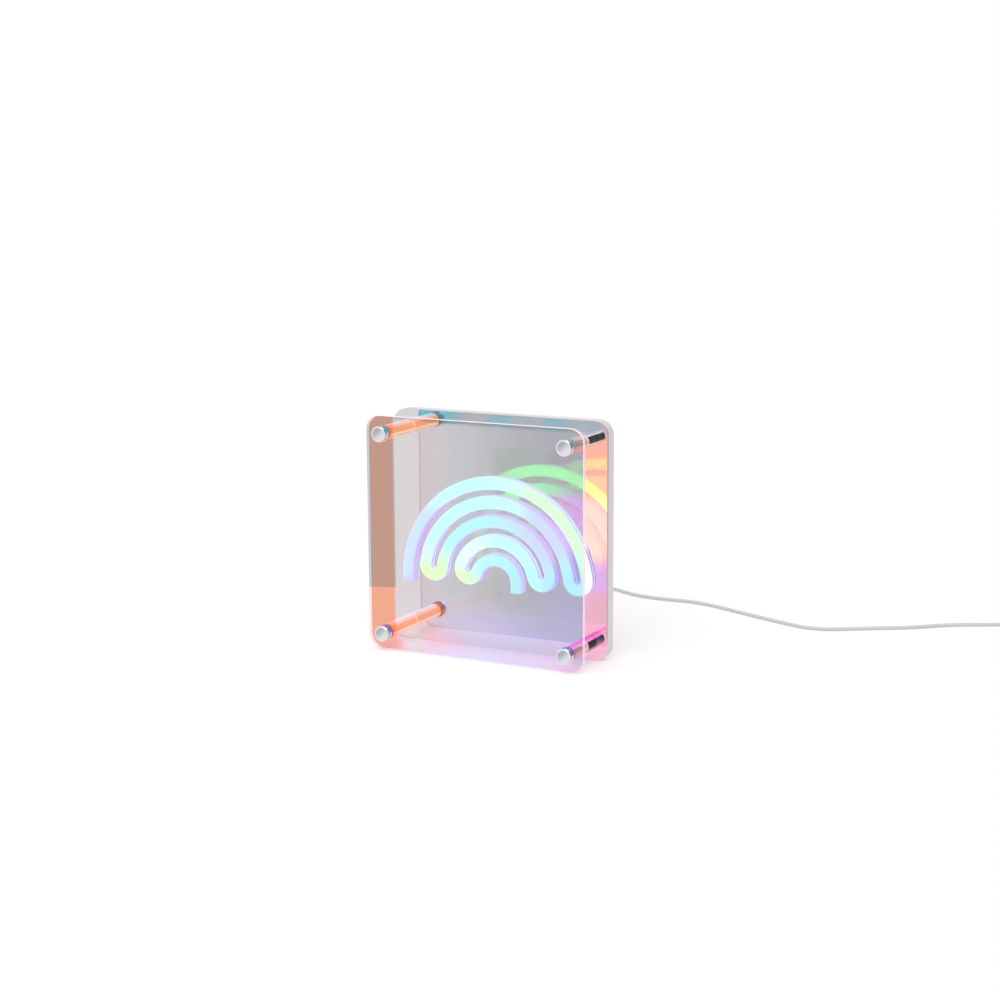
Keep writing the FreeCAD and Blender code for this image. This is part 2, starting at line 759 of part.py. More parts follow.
def rounded_path(points):
    """Straight runs through points, joined by the largest tangent arcs that the runs leave room for."""
    arc_share = 0.45
    edges = []
    radii = []
    start = points[0]
    for before, corner, after in zip(points, points[1:], points[2:]):
        arriving = corner - before
        leaving = after - corner
        half_turn = arriving.getAngle(leaving) / 2
        reach = arc_share * min(arriving.Length, leaving.Length)
        radius = reach / math.tan(half_turn)
        arriving.normalize()
        leaving.normalize()
        arc_start = corner - arriving * reach
        arc_end = corner + leaving * reach
        inward = (leaving - arriving).normalize()
        to_middle = radius * (1 / math.cos(half_turn) - 1)
        edges.append(Part.LineSegment(start, arc_start).toShape())
        edges.append(Part.Arc(arc_start, corner + inward * to_middle, arc_end).toShape())
        radii.append(radius)
        start = arc_end
    edges.append(Part.LineSegment(start, points[-1]).toShape())
    return Part.Wire(edges), radii


def round_tube(wire, diameter):
    """Round solid along a wire, tested against its section times its length."""
    first = wire.OrderedEdges[0]
    start = first.valueAt(first.FirstParameter)
    heading = first.tangentAt(first.FirstParameter)
    section = Part.Wire([Part.Circle(start, heading, diameter / 2).toShape()])
    solid = wire.makePipeShell([section], True, False)
    expected = math.pi * diameter ** 2 / 4 * wire.Length
    volume_tolerance = 0.01
    if abs(solid.Volume - expected) > volume_tolerance * expected:
        raise RuntimeError(f"tube volume {solid.Volume:.1f}, expected {expected:.1f}")
    return solid


def make_lead_wires():
    """Two wires from the foot of the tube through mirror and tray to the board."""
    x = value(TUBE_START_X)
    wire_y = value(WIRE_Y)
    board_end = value(f"{BOARD_LEFT} + dims.connector_setback")
    wires = []
    for side in (-1, 1):
        z = value(WIRE_HOLE_Z) + side * value("dims.wire_spacing") / 2
        points = [
            Vector(x, value(TUBE_BACK_Y), z),
            Vector(x, wire_y, z),
            Vector(board_end, wire_y, z),
        ]
        wire, _ = rounded_path(points)
        wires.append(round_tube(wire, value("dims.wire_diameter")))
    thing = doc.addObject("Part::Feature", "lead_wires")
    thing.Shape = Part.makeCompound(wires)
    keep(thing, "lead_wires")


def make_supply_wires():
    """Two straight wires from the strain relief up to the board."""
    bottom = "(dims.cord_exit_z + dims.relief_flange / 2)"
    length = f"({BOARD_BOTTOM} + dims.connector_setback - {bottom})"
    wires = []
    for name, offset in (("left", "-dims.wire_spacing / 2"), ("right", "dims.wire_spacing / 2")):
        wires.append(cylinder(f"supply_wire_{name}", "dims.wire_diameter", length,
                              f"dims.cord_exit_x + {offset}", WIRE_Y, bottom, UPRIGHT))
    group("supply_wires", wires)


def make_driver_board():
    """Circuit board on two bosses, with its parts and screws."""
    board = box("board_blank", "dims.board_width", "dims.board_thick", "dims.board_height",
                BOARD_LEFT, BOARD_Y, BOARD_BOTTOM)
    hole = "(dims.board_screw_diameter + 2 * dims.board_hole_clearance)"
    holes = []
    screws = []
    shank = "(dims.board_thick + dims.board_boss_height + dims.board_screw_depth)"
    for number, (x, z) in enumerate(BOARD_SCREWS, start=1):
        holes.append(cylinder(f"board_hole_{number}", hole, "dims.board_thick", x, BOARD_Y, z))
        screws.append(screw(f"board_screw_{number}", "dims.board_screw_head_diameter",
                            "dims.board_screw_head_height", "dims.board_screw_diameter",
                            shank, x, BOARD_BACK_Y, z))
    keep(cut("driver_board", board, fuse("board_holes", holes)), "driver_board")
    group("board_screws", screws)


def make_board_components():
    """Two wire connectors, a controller and an inductor on the back of the board."""
    lead_connector = box("lead_connector", "dims.connector_width", "dims.connector_height",
                         "dims.connector_length", f"{BOARD_LEFT} + dims.connector_setback", BOARD_BACK_Y,
                         f"{WIRE_HOLE_Z} - dims.connector_length / 2")
    supply_connector = box("supply_connector", "dims.connector_length", "dims.connector_height",
                           "dims.connector_width", "dims.cord_exit_x - dims.connector_length / 2",
                           BOARD_BACK_Y, f"{BOARD_BOTTOM} + dims.connector_setback")
    controller = box("controller", "dims.controller_length", "dims.controller_height",
                     "dims.controller_width", f"{BOARD_LEFT} + dims.controller_from_left", BOARD_BACK_Y,
                     f"{BOARD_BOTTOM} + dims.controller_from_bottom")
    inductor = cylinder("inductor", "dims.inductor_diameter", "dims.inductor_height",
                        f"{BOARD_LEFT} + dims.inductor_from_left", BOARD_BACK_Y,
                        f"{BOARD_BOTTOM} + dims.inductor_from_bottom")
    group("board_components", [lead_connector, supply_connector, controller, inductor])


def make_switch():
    """Slide switch on the board: an open body and a knob that runs along X in it."""
    pocket_left = f"({SWITCH_X} - dims.knob_foot_length / 2 - dims.slide_clearance)"
    pocket_length = "(dims.knob_foot_length + dims.switch_travel + 2 * dims.slide_clearance)"
    pocket_width = "(dims.knob_foot_width + 2 * dims.slide_clearance)"
    pocket_y = f"({BOARD_BACK_Y} + dims.switch_height - dims.switch_pocket_depth)"
    block = box("switch_block", f"{pocket_length} + 2 * dims.switch_wall", "dims.switch_height",
                f"{pocket_width} + 2 * dims.switch_wall", f"{pocket_left} - dims.switch_wall",
                BOARD_BACK_Y, f"{SWITCH_Z} - {pocket_width} / 2 - dims.switch_wall")
    hollow = box("switch_pocket", pocket_length, "dims.switch_pocket_depth", pocket_width,
                 pocket_left, pocket_y, f"{SWITCH_Z} - {pocket_width} / 2")
    keep(cut("switch_body", block, hollow), "switch_body")
    foot_y = f"({pocket_y} + dims.slide_clearance)"
    stem_y = f"({foot_y} + dims.knob_foot_height)"
    foot = box("knob_foot", "dims.knob_foot_length", "dims.knob_foot_height", "dims.knob_foot_width",
               f"{SWITCH_X} - dims.knob_foot_length / 2", foot_y, f"{SWITCH_Z} - dims.knob_foot_width / 2")
    stem = box("knob_stem", "dims.knob_stem_length", f"{BACK_Y} - dims.knob_recess - {stem_y}",
               "dims.knob_stem_width", f"{SWITCH_X} - dims.knob_stem_length / 2", stem_y,
               f"{SWITCH_Z} - dims.knob_stem_width / 2")
    keep(fuse("switch_knob", [foot, stem]), "switch_knob")


def make_cover_screws():
    """Screws that hold the back cover to the bosses of the tray."""
    shank = "(dims.cover_thick - dims.cover_head_height + dims.cover_screw_reach)"
    screws = []
    for number, (x, z) in enumerate(COVER_SCREWS, start=1):
        screws.append(screw(f"cover_screw_{number}", "dims.cover_head_diameter", "dims.cover_head_height",
                            "dims.cover_screw_diameter", shank, x, f"({BACK_Y} - dims.cover_head_height)", z))
    group("cover_screws", screws)


def make_strain_relief():
    """Grommet of the cord: a square flange inside the cover, a neck and a tapered tail."""
    half_flange = "dims.relief_flange / 2"
    flange = box("relief_flange_block", "dims.relief_flange", "dims.relief_flange_thick",
                 "dims.relief_flange", f"dims.cord_exit_x - {half_flange}",
                 f"{COVER_Y} - dims.relief_flange_thick", f"dims.cord_exit_z - {half_flange}")
    neck = cylinder("relief_neck", "dims.relief_neck_diameter", "dims.cover_thick",
                    "dims.cord_exit_x", COVER_Y, "dims.cord_exit_z")
    tail = doc.addObject("Part::Cone", "relief_tail")
    tail.setExpression("Radius1", "dims.relief_root_diameter / 2")
    tail.setExpression("Radius2", "dims.relief_tip_diameter / 2")
    tail.setExpression("Height", "dims.relief_length")
    place(tail, "dims.cord_exit_x", BACK_Y, "dims.cord_exit_z", ALONG_Y)
    keep(fuse("strain_relief", [flange, neck, tail]), "strain_relief")


# Route of the cord after the strain relief: it sinks to the table, swings round behind the
# lamp and runs out to the right, where it is put away in a coil.
SINKING_ROUTE = [
    (-61.2, 75.0, 11.4),
    (-60.3, 90.0, 7.4),
    (-59.8, 105.0, 3.2),
]
TABLE_ROUTE = [
    (-59.7, 121.0),
    (-60.4, 140.0),
    (-61.7, 161.0),
    (-62.4, 183.0),
    (-61.2, 205.0),
    (-56.3, 227.0),
    (-46.5, 246.5),
    (-31.5, 259.5),
    (-17.0, 263.8),
    (-1.8, 261.4),
    (27.7, 245.3),
    (54.8, 242.2),
    (79.3, 245.3),
    (104.0, 240.6),
    (142.8, 223.5),
    (182.7, 206.9),
    (209.4, 197.5),
    (225.6, 198.3),
    (241.0, 206.7),
    (260.5, 219.4),
    (289.8, 235.8),
    (304.6, 248.3),
    (322.9, 264.5),
    (360.7, 283.1),
]
COIL_ENTRY = (397.0, 303.5)
TAIL_ROUTE = [
    (423.0, 315.6),
    (434.5, 318.4),
]
PLUG_ENTRY = (445.0, 319.2)

COIL_Z = "(dims.tie_thick + dims.tie_clearance + dims.cord_diameter / 2)"


def make_cord():
    """Free stretch of the cord, from the strain relief to the coil."""
    on_table = value("dims.cord_diameter / 2")
    start = Vector(value("dims.cord_exit_x"), value(f"{BACK_Y} + dims.relief_length"),
                   value("dims.cord_exit_z"))
    points = [start, start + Vector(0, value("dims.straight_exit"), 0)]
    points += [Vector(*point) for point in SINKING_ROUTE]
    points += [Vector(x, y, on_table) for x, y in TABLE_ROUTE]
    points.append(Vector(*COIL_ENTRY, value(COIL_Z)))
    wire, radii = rounded_path(points)
    print("cord radii", [round(radius, 1) for radius in radii])
    thing = doc.addObject("Part::Feature", "cord")
    thing.Shape = round_tube(wire, value("dims.cord_diameter"))
    keep(thing, "cord")
    return points[-1], (points[-1] - points[-2]).normalize(), wire.Length


def arc_from(start, heading, finish):
    """Arc that leaves a point along a heading and ends at another point."""
    chord = finish - start
    along = Vector(chord).normalize()
    sideways = heading - along * heading.dot(along)
    bend = heading.getAngle(chord)
    straight_limit = 1e-6
    if bend < straight_limit:
        return Part.LineSegment(start, finish).toShape()
    middle = start + chord / 2 + sideways.normalize() * (chord.Length / 2 * math.tan(bend / 2))
    return Part.Arc(start, middle, finish).toShape()


def biarc(start, heading, finish, final_heading):
    """Two tangent arcs between two points with a heading at each."""
    gap = finish - start
    both = heading + final_heading
    square = 2 * (1 - heading.dot(final_heading))
    linear = 2 * gap.dot(both)
    reach = (math.sqrt(linear ** 2 + 4 * square * gap.dot(gap)) - linear) / (2 * square)
    joint = (start + heading * reach + finish - final_heading * reach) / 2
    first = arc_from(start, heading, joint)
    last = arc_from(finish, final_heading * -1, joint)
    return [first, last]


def coil_station(turn, entry_angle, centre):
    """Point and heading of the coil: it winds in on the table, climbs a layer and winds out above."""
    pitch = value("dims.coil_pitch")
    climb_turns = 0.5
    angle = entry_angle + 2 * math.pi * (turn + COIL_TURNS_PER_LAYER)
    radius = value("dims.coil_inner_radius") + pitch * abs(turn)
    inward = 0 if turn == 0 else math.copysign(pitch, turn)
    climbed = min(max(turn / climb_turns + 0.5, 0), 1)
    height = value(COIL_Z) + pitch * climbed ** 2 * (3 - 2 * climbed)
    rise = pitch * 6 * climbed * (1 - climbed) / climb_turns
    outwards = Vector(math.cos(angle), math.sin(angle), 0)
    onwards = Vector(-math.sin(angle), math.cos(angle), 0)
    point = Vector(centre.x, centre.y, height) + outwards * radius
    heading = outwards * inward + onwards * (2 * math.pi * radius) + Vector(0, 0, rise)
    return point, heading.normalize()


def least_gap(wire, diameter):
    """Least room between turns of a wound tube, measured on points of its centreline."""
    point_step = 1.0
    own_length = 4 * diameter
    points = wire.discretize(Distance=point_step)
    skipped = int(own_length / point_step)
    nearest = min(
        point.distanceToPoint(other)
        for index, point in enumerate(points)
        for other in points[index + skipped:]
    )
    return nearest - diameter


def make_cord_coil(entry, heading):
    """Put-away length of the cord, wound in two layers as one unbroken tube."""
    diameter = value("dims.cord_diameter")
    pitch = value("dims.coil_pitch")
    turns = COIL_TURNS_PER_LAYER
    outer_radius = value("dims.coil_inner_radius") + pitch * turns
    drawn_in = math.atan2(pitch, 2 * math.pi * outer_radius)
    entry_angle = math.atan2(heading.y, heading.x) - math.pi / 2 - drawn_in
    start = entry + heading * diameter
    centre = start - Vector(math.cos(entry_angle), math.sin(entry_angle), 0) * outer_radius
    edges = [Part.LineSegment(entry, start).toShape()]
    point = start
    steps = int(2 * turns * STEPS_PER_TURN)
    for step in range(1, steps + 1):
        next_point, next_heading = coil_station(step / STEPS_PER_TURN - turns, entry_angle, centre)
        edges += biarc(point, heading, next_point, next_heading)
        point = next_point
        heading = next_heading
    finish = point + heading * diameter
    edges.append(Part.LineSegment(point, finish).toShape())
    wire = Part.Wire(edges)
    print("coil least gap", round(least_gap(wire, diameter), 2), "length", round(wire.Length, 1))
    thing = doc.addObject("Part::Feature", "cord_coil")
    thing.Shape = round_tube(wire, diameter)
    keep(thing, "cord_coil")
    return centre, entry_angle, finish, heading, wire.Length


def make_cord_tie(centre, entry_angle):
    """Strap round the coil, a quarter turn past its entry."""
    quarter_turn = 90
    body = new_body("cord_tie")
    half_cord = "dims.cord_diameter / 2"
    inner = (f"(sqrt(dims.coil_inner_radius ^ 2 - (dims.tie_width / 2) ^ 2)"
             f" - {half_cord} - dims.tie_clearance)")
    outer = (f"(dims.coil_inner_radius + {COIL_TURNS_PER_LAYER} * dims.coil_pitch"
             f" + {half_cord} + dims.tie_clearance)")
    top = f"({COIL_Z} + dims.coil_pitch + {half_cord} + dims.tie_clearance)"
    sketch = front_sketch(body, "tie_loop", "-dims.tie_width / 2")
    rounded_rectangle(sketch, f"{inner} - dims.tie_thick", "0", f"{outer} + dims.tie_thick",
                      f"{top} + dims.tie_thick", "dims.tie_rounding")
    rounded_rectangle(sketch, inner, "dims.tie_thick", outer, top,
                      "(dims.tie_rounding - dims.tie_thick)")
    pad(body, sketch, "dims.tie_width", backwards=True)
    turned = Rotation(Vector(0, 0, 1), math.degrees(entry_angle) + quarter_turn)
    body.Placement = FreeCAD.Placement(Vector(centre.x, centre.y, 0), turned)


def make_cord_tail(start, heading):
    """Short stretch from the coil down to the plug."""
    plug_height = value("dims.plug_thick / 2")
    points = [start, start + heading * value("dims.straight_exit")]
    points += [Vector(x, y, plug_height) for x, y in TAIL_ROUTE]
    points.append(Vector(*PLUG_ENTRY, plug_height))
    wire, radii = rounded_path(points)
    print("tail radii", [round(radius, 1) for radius in radii])
    thing = doc.addObject("Part::Feature", "cord_tail")
    thing.Shape = round_tube(wire, value("dims.cord_diameter"))
    keep(thing, "cord_tail")
    return points[-1], points[-1] - points[-2], wire.Length


def make_plug(entry, heading):
    """Low-voltage plug on the table: a moulded grip, a metal shell and the tongue in it."""
    lie = FreeCAD.Placement(entry, Rotation(Vector(0, 0, 1), math.degrees(math.atan2(heading.y, heading.x))))
    grip = new_body("plug_body")
    neck = new_sketch(grip, "plug_neck", "YZ_Plane")
    circle(neck, "0", "0", "dims.plug_neck_diameter")
    pad(grip, neck, "dims.plug_neck_length")
    block = new_sketch(grip, "plug_block", "YZ_Plane", "dims.plug_neck_length")
    rounded_rectangle(block, "-dims.plug_width / 2", "-dims.plug_thick / 2", "dims.plug_width / 2",
                      "dims.plug_thick / 2", "dims.plug_rounding")
    pad(grip, block, "dims.plug_length")
    grip.Placement = lie
    front = "(dims.plug_neck_length + dims.plug_length)"
    shell = new_body("plug_shell")
    wall = new_sketch(shell, "shell_outline", "YZ_Plane", front)
    rectangle(wall, "-dims.shell_width / 2", "-dims.shell_thick / 2", "dims.shell_width / 2",
              "dims.shell_thick / 2")
    inner_width = "(dims.shell_width / 2 - dims.shell_wall)"
    inner_thick = "(dims.shell_thick / 2 - dims.shell_wall)"
    rectangle(wall, f"-{inner_width}", f"-{inner_thick}", inner_width, inner_thick)
    pad(shell, wall, "dims.shell_length")
    shell.Placement = lie
    tongue = new_body("plug_tongue")
    slab = new_sketch(tongue, "tongue_outline", "YZ_Plane", front)
    rectangle(slab, f"-{inner_width}", f"{inner_thick} - dims.tongue_thick", inner_width, inner_thick)
    pad(tongue, slab, "dims.shell_length - dims.tongue_setback")
    tongue.Placement = lie


def check_document():
    """Stop if any object failed or any sub-part is not a sound solid."""
    doc.recompute()
    for thing in doc.Objects:
        if "Invalid" in thing.State or "Error" in thing.State:
            raise RuntimeError(f"{thing.Label} failed: {thing.State}")
    for node in nodes:
        if node.Shape.isNull() or not node.Shape.isValid() or not node.Shape.Solids:
            raise RuntimeError(f"{node.Label} is not a sound solid")


def write_parts():
    """Write each sub-part to its own file."""
    os.makedirs("parts", exist_ok=True)
    for node in nodes:
        node.Shape.exportStep(f"parts/{node.Label}.step")
    print(len(nodes), "sub-parts")


make_front_panel()
make_iridescent_film()
for corner, (corner_x, corner_z) in STANDOFFS.items():
    make_standoff_cap(corner, corner_x, corner_z)
    make_standoff_barrel(corner, corner_x, corner_z)
make_standoff_fasteners()
make_mirror_panel()
make_rear_housing()
make_back_cover()
make_cover_screws()

light_path = make_light_path()
make_neon_tube(light_path)
make_tube_tape(light_path)
make_led_strip(light_path)
make_led_chips(light_path)
make_tube_cap("tube_start_cap", TUBE_START_X)
make_tube_cap("tube_end_cap", TUBE_END_X)

make_driver_board()
make_board_components()
make_lead_wires()
make_supply_wires()
make_switch()

make_strain_relief()
coil_entry, entry_heading, cord_length = make_cord()
coil_centre, coil_angle, coil_end, end_heading, coil_length = make_cord_coil(coil_entry, entry_heading)
make_cord_tie(coil_centre, coil_angle)
plug_entry, plug_heading, tail_length = make_cord_tail(coil_end, end_heading)
make_plug(plug_entry, plug_heading)
print("cord length", round(cord_length + coil_length + tail_length))

check_document()
write_parts()
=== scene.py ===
import math

import bpy
from bpy.props import FloatProperty, FloatVectorProperty, PointerProperty
from bpy.types import Operator, Panel, PropertyGroup
from mathutils import Color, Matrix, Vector


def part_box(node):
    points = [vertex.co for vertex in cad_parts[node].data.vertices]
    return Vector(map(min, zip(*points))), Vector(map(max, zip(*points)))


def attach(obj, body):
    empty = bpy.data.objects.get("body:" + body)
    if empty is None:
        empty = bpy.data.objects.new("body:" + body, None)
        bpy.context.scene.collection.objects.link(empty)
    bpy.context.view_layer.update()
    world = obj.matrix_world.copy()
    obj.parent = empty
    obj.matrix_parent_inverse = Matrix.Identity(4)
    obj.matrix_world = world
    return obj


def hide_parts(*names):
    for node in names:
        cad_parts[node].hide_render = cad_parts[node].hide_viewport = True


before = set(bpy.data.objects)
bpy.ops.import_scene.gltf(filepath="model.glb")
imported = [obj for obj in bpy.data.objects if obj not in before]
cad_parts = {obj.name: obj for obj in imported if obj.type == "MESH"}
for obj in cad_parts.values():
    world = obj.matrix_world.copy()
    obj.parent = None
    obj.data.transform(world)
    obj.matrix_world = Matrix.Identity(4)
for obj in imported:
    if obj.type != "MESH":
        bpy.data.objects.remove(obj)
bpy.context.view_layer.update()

bl_info = {
    "name": "Rainbow Lamp",
    "version": (1, 0, 0),
    "blender": (4, 5, 0),
    "location": "View3D > Sidebar > Rainbow Lamp",
    "description": "Dresses the solids of an iridescent rainbow lamp and lights them on a table",
    "category": "Object",
}

# A fade is a pair of values: its share is nought at the first and one at the second.
# A zone is a place on the lamp's face, as X and Z, the radius it reaches and the radius where it is full.
# Lengths are in metres, and a turn is a part of the direction that a surface faces.
FILM_LOW, FILM_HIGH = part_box("iridescent_film")
MIRROR_LOW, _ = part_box("mirror_panel")
CAP_LOW, CAP_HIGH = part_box("standoff_cap_ul")
WHITE = (1, 1, 1, 1)
CUT_EDGE_TURN = (0.97, 0.8)


def tone(code):
    """Shares of red, green and blue of a six-digit colour code."""
    return tuple(int(code[start:start + 2], 16) / 255 for start in (0, 2, 4))


def linear(shown):
    """Light that a shown colour stands for, with full cover."""
    return (*Color(shown).from_srgb_to_scene_linear(), 1.0)


def colour(name, description, code):
    """Colour that a user can change, written as it shows on a screen."""
    return FloatVectorProperty(name=name, description=description, default=tone(code),
                               size=3, min=0, max=1, subtype="COLOR_GAMMA")


def length(name, description, default):
    """Length in metres that a user can change."""
    return FloatProperty(name=name, description=description, default=default,
                         min=0, precision=4, unit="LENGTH")


class CordSettings(PropertyGroup):
    """Cord, its strain relief, tie and plug."""

    diameter: length("Diameter", "Outside diameter of the cord", 0.003)
    whole_length: length("Length", "Length of the cord from strain relief to plug", 1.53)
    coil_inner_radius: length("Coil radius", "Radius of the coil's innermost turn", 0.0115)
    coil_pitch: length("Coil pitch", "Step from one turn of the coil to the next", 0.0036)
    coil_height: length("Coil height", "Height of the lower layer's centreline", 0.00235)
    jacket: colour("Jacket", "Colour of the cord's jacket", "e2e3e6")
    strap: colour("Strap", "Colour of the tie round the coil", "1c1c1f")


class StageSettings(PropertyGroup):
    """Table, studio and camera."""

    camera_place: FloatVectorProperty(
        name="Camera place", description="Where the camera stands", size=3,
        default=(0.75046, -1.42018, 0.42879), subtype="TRANSLATION", unit="LENGTH")
    camera_turn: FloatVectorProperty(
        name="Camera turn", description="How the camera is turned", size=3,
        default=(1.387652, 0.00547, 0.478554), subtype="EULER", unit="ROTATION")
    camera_lens: FloatProperty(
        name="Lens", description="Focal length on a 36 mm sensor", default=71.09,
        min=1, unit="CAMERA")
    table: colour("Table", "Colour of the table top", "f4f4f4")
    wall: colour("Wall", "Colour of the studio wall behind the table", "cce3f5")
    flag: colour("Flag", "Colour of the dark cloth beside the set", "0e0e10")
    wall_distance: length("Wall distance", "From the lamp's middle back to the wall", 0.228)
    key_strength: FloatProperty(
        name="Key light", description="Strength of the soft key light", default=0.8, min=0)


# Route of the cord in metres, from the strain relief to the coil and from the coil to the plug.
EXIT = Vector((-0.062, 0.046, 0.013))
STRAIGHT_EXIT = 0.014
SINKING_ROUTE = [
    (-0.0612, 0.0750, 0.0114),
    (-0.0603, 0.0900, 0.0074),
    (-0.0598, 0.1050, 0.0032),
]
TABLE_ROUTE = [
    (-0.0597, 0.1210),
    (-0.0604, 0.1400),
    (-0.0617, 0.1610),
    (-0.0624, 0.1830),
    (-0.0612, 0.2050),
    (-0.0563, 0.2270),
    (-0.0465, 0.2465),
    (-0.0315, 0.2595),
    (-0.0170, 0.2638),
    (-0.0018, 0.2614),
    (0.0277, 0.2453),
    (0.0548, 0.2422),
    (0.0793, 0.2453),
    (0.1040, 0.2406),
    (0.1428, 0.2235),
    (0.1827, 0.2069),
    (0.2094, 0.1975),
    (0.2256, 0.1983),
    (0.2410, 0.2067),
    (0.2605, 0.2194),
    (0.2898, 0.2358),
    (0.3046, 0.2483),
    (0.3229, 0.2645),
    (0.3607, 0.2831),
]
COIL_ENTRY = (0.3970, 0.3035)
TAIL_ROUTE = [
    (0.4230, 0.3156),
    (0.4345, 0.3184),
]
PLUG_ENTRY = (0.4450, 0.3192)
PLUG_HEIGHT = 0.0043
COIL_TURNS_PER_LAYER = 3.5
COIL_POINTS_PER_TURN = 24
CLIMB_TURNS = 0.5


def coil_points(settings, entry, heading):
    """Points of the coil: it winds in on the table, climbs a layer and winds out above."""
    pitch = settings.coil_pitch
    turns = COIL_TURNS_PER_LAYER
    outer_radius = settings.coil_inner_radius + pitch * turns
    drawn_in = math.atan2(pitch, 2 * math.pi * outer_radius)
    entry_angle = math.atan2(heading.y, heading.x) - math.pi / 2 - drawn_in
    start = entry + heading * settings.diameter
    centre = start - Vector((math.cos(entry_angle), math.sin(entry_angle), 0)) * outer_radius
    points = []
    for step in range(int(2 * turns * COIL_POINTS_PER_TURN) + 1):
        turn = step / COIL_POINTS_PER_TURN - turns
        angle = entry_angle + 2 * math.pi * (turn + turns)
        radius = settings.coil_inner_radius + pitch * abs(turn)
        climbed = min(max(turn / CLIMB_TURNS + 0.5, 0), 1)
        height = settings.coil_height + pitch * climbed ** 2 * (3 - 2 * climbed)
        points.append(Vector((centre.x + radius * math.cos(angle),
                              centre.y + radius * math.sin(angle), height)))
    return points


def cord_route(settings):
    """Control points of the whole cord."""
    on_table = settings.diameter / 2
    route = [EXIT, EXIT + Vector((0, STRAIGHT_EXIT, 0))]
    route += [Vector(point) for point in SINKING_ROUTE]
    route += [Vector((x, y, on_table)) for x, y in TABLE_ROUTE]
    entry = Vector((*COIL_ENTRY, settings.coil_height))
    heading = (entry - route[-1]).normalized()
    coil = coil_points(settings, entry, heading)
    leaving = (coil[-1] - coil[-2]).normalized()
    route.append(entry)
    route += coil
    route.append(coil[-1] + leaving * (settings.diameter + STRAIGHT_EXIT))
    route += [Vector((x, y, PLUG_HEIGHT)) for x, y in TAIL_ROUTE]
    route.append(Vector((*PLUG_ENTRY, PLUG_HEIGHT)))
    return route


class Nodes:
    """Node tree whose nodes are added and joined in short steps."""

    def __init__(self, tree):
        self.tree = tree
        self.tree.nodes.clear()
        self.coordinates = None

    def feed(self, socket, source):
        """Join an input to another node's output, or set its value. A shown colour is turned into light."""
        if isinstance(source, bpy.types.NodeSocket):
            self.tree.links.new(source, socket)
        elif isinstance(source, Color):
            socket.default_value = linear(source)
        else:
            socket.default_value = source

    def add(self, kind, inputs=None, **settings):
        """New node with its settings made and its inputs fed."""
        node = self.tree.nodes.new(kind)
        for setting, value in settings.items():
            setattr(node, setting, value)
        for socket, source in (inputs or {}).items():
            self.feed(node.inputs[socket], source)
        return node

    def made(self, kind, inputs=None, **settings):
        """First output of a new node."""
        return self.add(kind, inputs, **settings).outputs[0]

    def calc(self, operation, first, second=0.0):
        """Result of one sum."""
        return self.made("ShaderNodeMath", {0: first, 1: second}, operation=operation)

    def both(self, first, second):
        """Product of two shares."""
        return self.calc("MULTIPLY", first, second)

    def either(self, first, second):
        """Greater of two shares."""
        return self.calc("MAXIMUM", first, second)

    def rest(self, share):
        """What a share leaves of one."""
        return self.calc("SUBTRACT", 1.0, share)

    def rise(self, value, low, high):
        """Smooth step from nought at low to one at high."""
        return self.made("ShaderNodeMapRange", {0: value, 1: low, 2: high}, interpolation_type="SMOOTHSTEP")

    def seen(self):
        """One for the camera, glossy faces and clear faces, nought for the light on matt faces."""
        path = self.add("ShaderNodeLightPath").outputs
        shown = self.either(path["Is Camera Ray"], path["Is Glossy Ray"])
        return self.either(shown, path["Is Transmission Ray"])


class Finish(Nodes):
    """One material."""

    def __init__(self, name):
        self.material = bpy.data.materials.new(name)
        self.material.use_nodes = True
        super().__init__(self.material.node_tree)

    def mix(self, share, first, second):
        """Colour between two colours."""
        return self.add("ShaderNodeMix", {0: share, 6: first, 7: second}, data_type="RGBA").outputs[2]

    def blend(self, share, first, second):
        """Shader between two shaders."""
        return self.made("ShaderNodeMixShader", {0: share, 1: first, 2: second})

    def spot(self):
        """Place on the piece, in metres, as a vector."""
        if self.coordinates is None:
            self.coordinates = self.add("ShaderNodeTexCoord").outputs["Object"]
        return self.coordinates

    def axes(self):
        """Place on the piece, in metres, as X, Y and Z."""
        return self.add("ShaderNodeSeparateXYZ", {0: self.spot()}).outputs

    def facing(self):
        """Direction that the surface faces, as X, Y and Z."""
        normal = self.add("ShaderNodeNewGeometry").outputs["Normal"]
        return self.add("ShaderNodeSeparateXYZ", {0: normal}).outputs

    def on_edge(self):
        """One on the cut edges of a plate, nought on its front and back."""
        _, facing_y, _ = self.facing()
        return self.rise(self.calc("ABSOLUTE", facing_y), *CUT_EDGE_TURN)

    def noise(self, scale, detail):
        """Cloudy value from nought to one."""
        return self.made("ShaderNodeTexNoise", {"Vector": self.spot(), "Scale": scale, "Detail": detail})

    def glow_round(self, place, reach, full):
        """One round a place on the lamp's face, fading to nought at its reach."""
        x, z = place
        flat = self.made("ShaderNodeVectorMath", {0: self.spot(), 1: (1, 0, 1)}, operation="MULTIPLY")
        distance = self.add("ShaderNodeVectorMath", {0: flat, 1: (x, 0, z)}, operation="DISTANCE")
        return self.rise(distance.outputs["Value"], reach, full)

    def principled(self, **inputs):
        """Main surface shader, with its inputs named by words joined by underscores."""
        return self.made("ShaderNodeBsdfPrincipled",
                         {word.replace("_", " ").title(): source for word, source in inputs.items()})

    def wear(self, shader):
        """Finish the material with a shader and hand it over."""
        self.add("ShaderNodeOutputMaterial", {"Surface": shader})
        return self.material


def dress(material, *nodes):
    """Put a material on CAD pieces."""
    for node in nodes:
        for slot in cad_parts[node].material_slots:
            slot.material = material


def shaded(light, share):
    """Colour with only a share of its light."""
    return (*(part * share for part in light[:3]), 1.0)


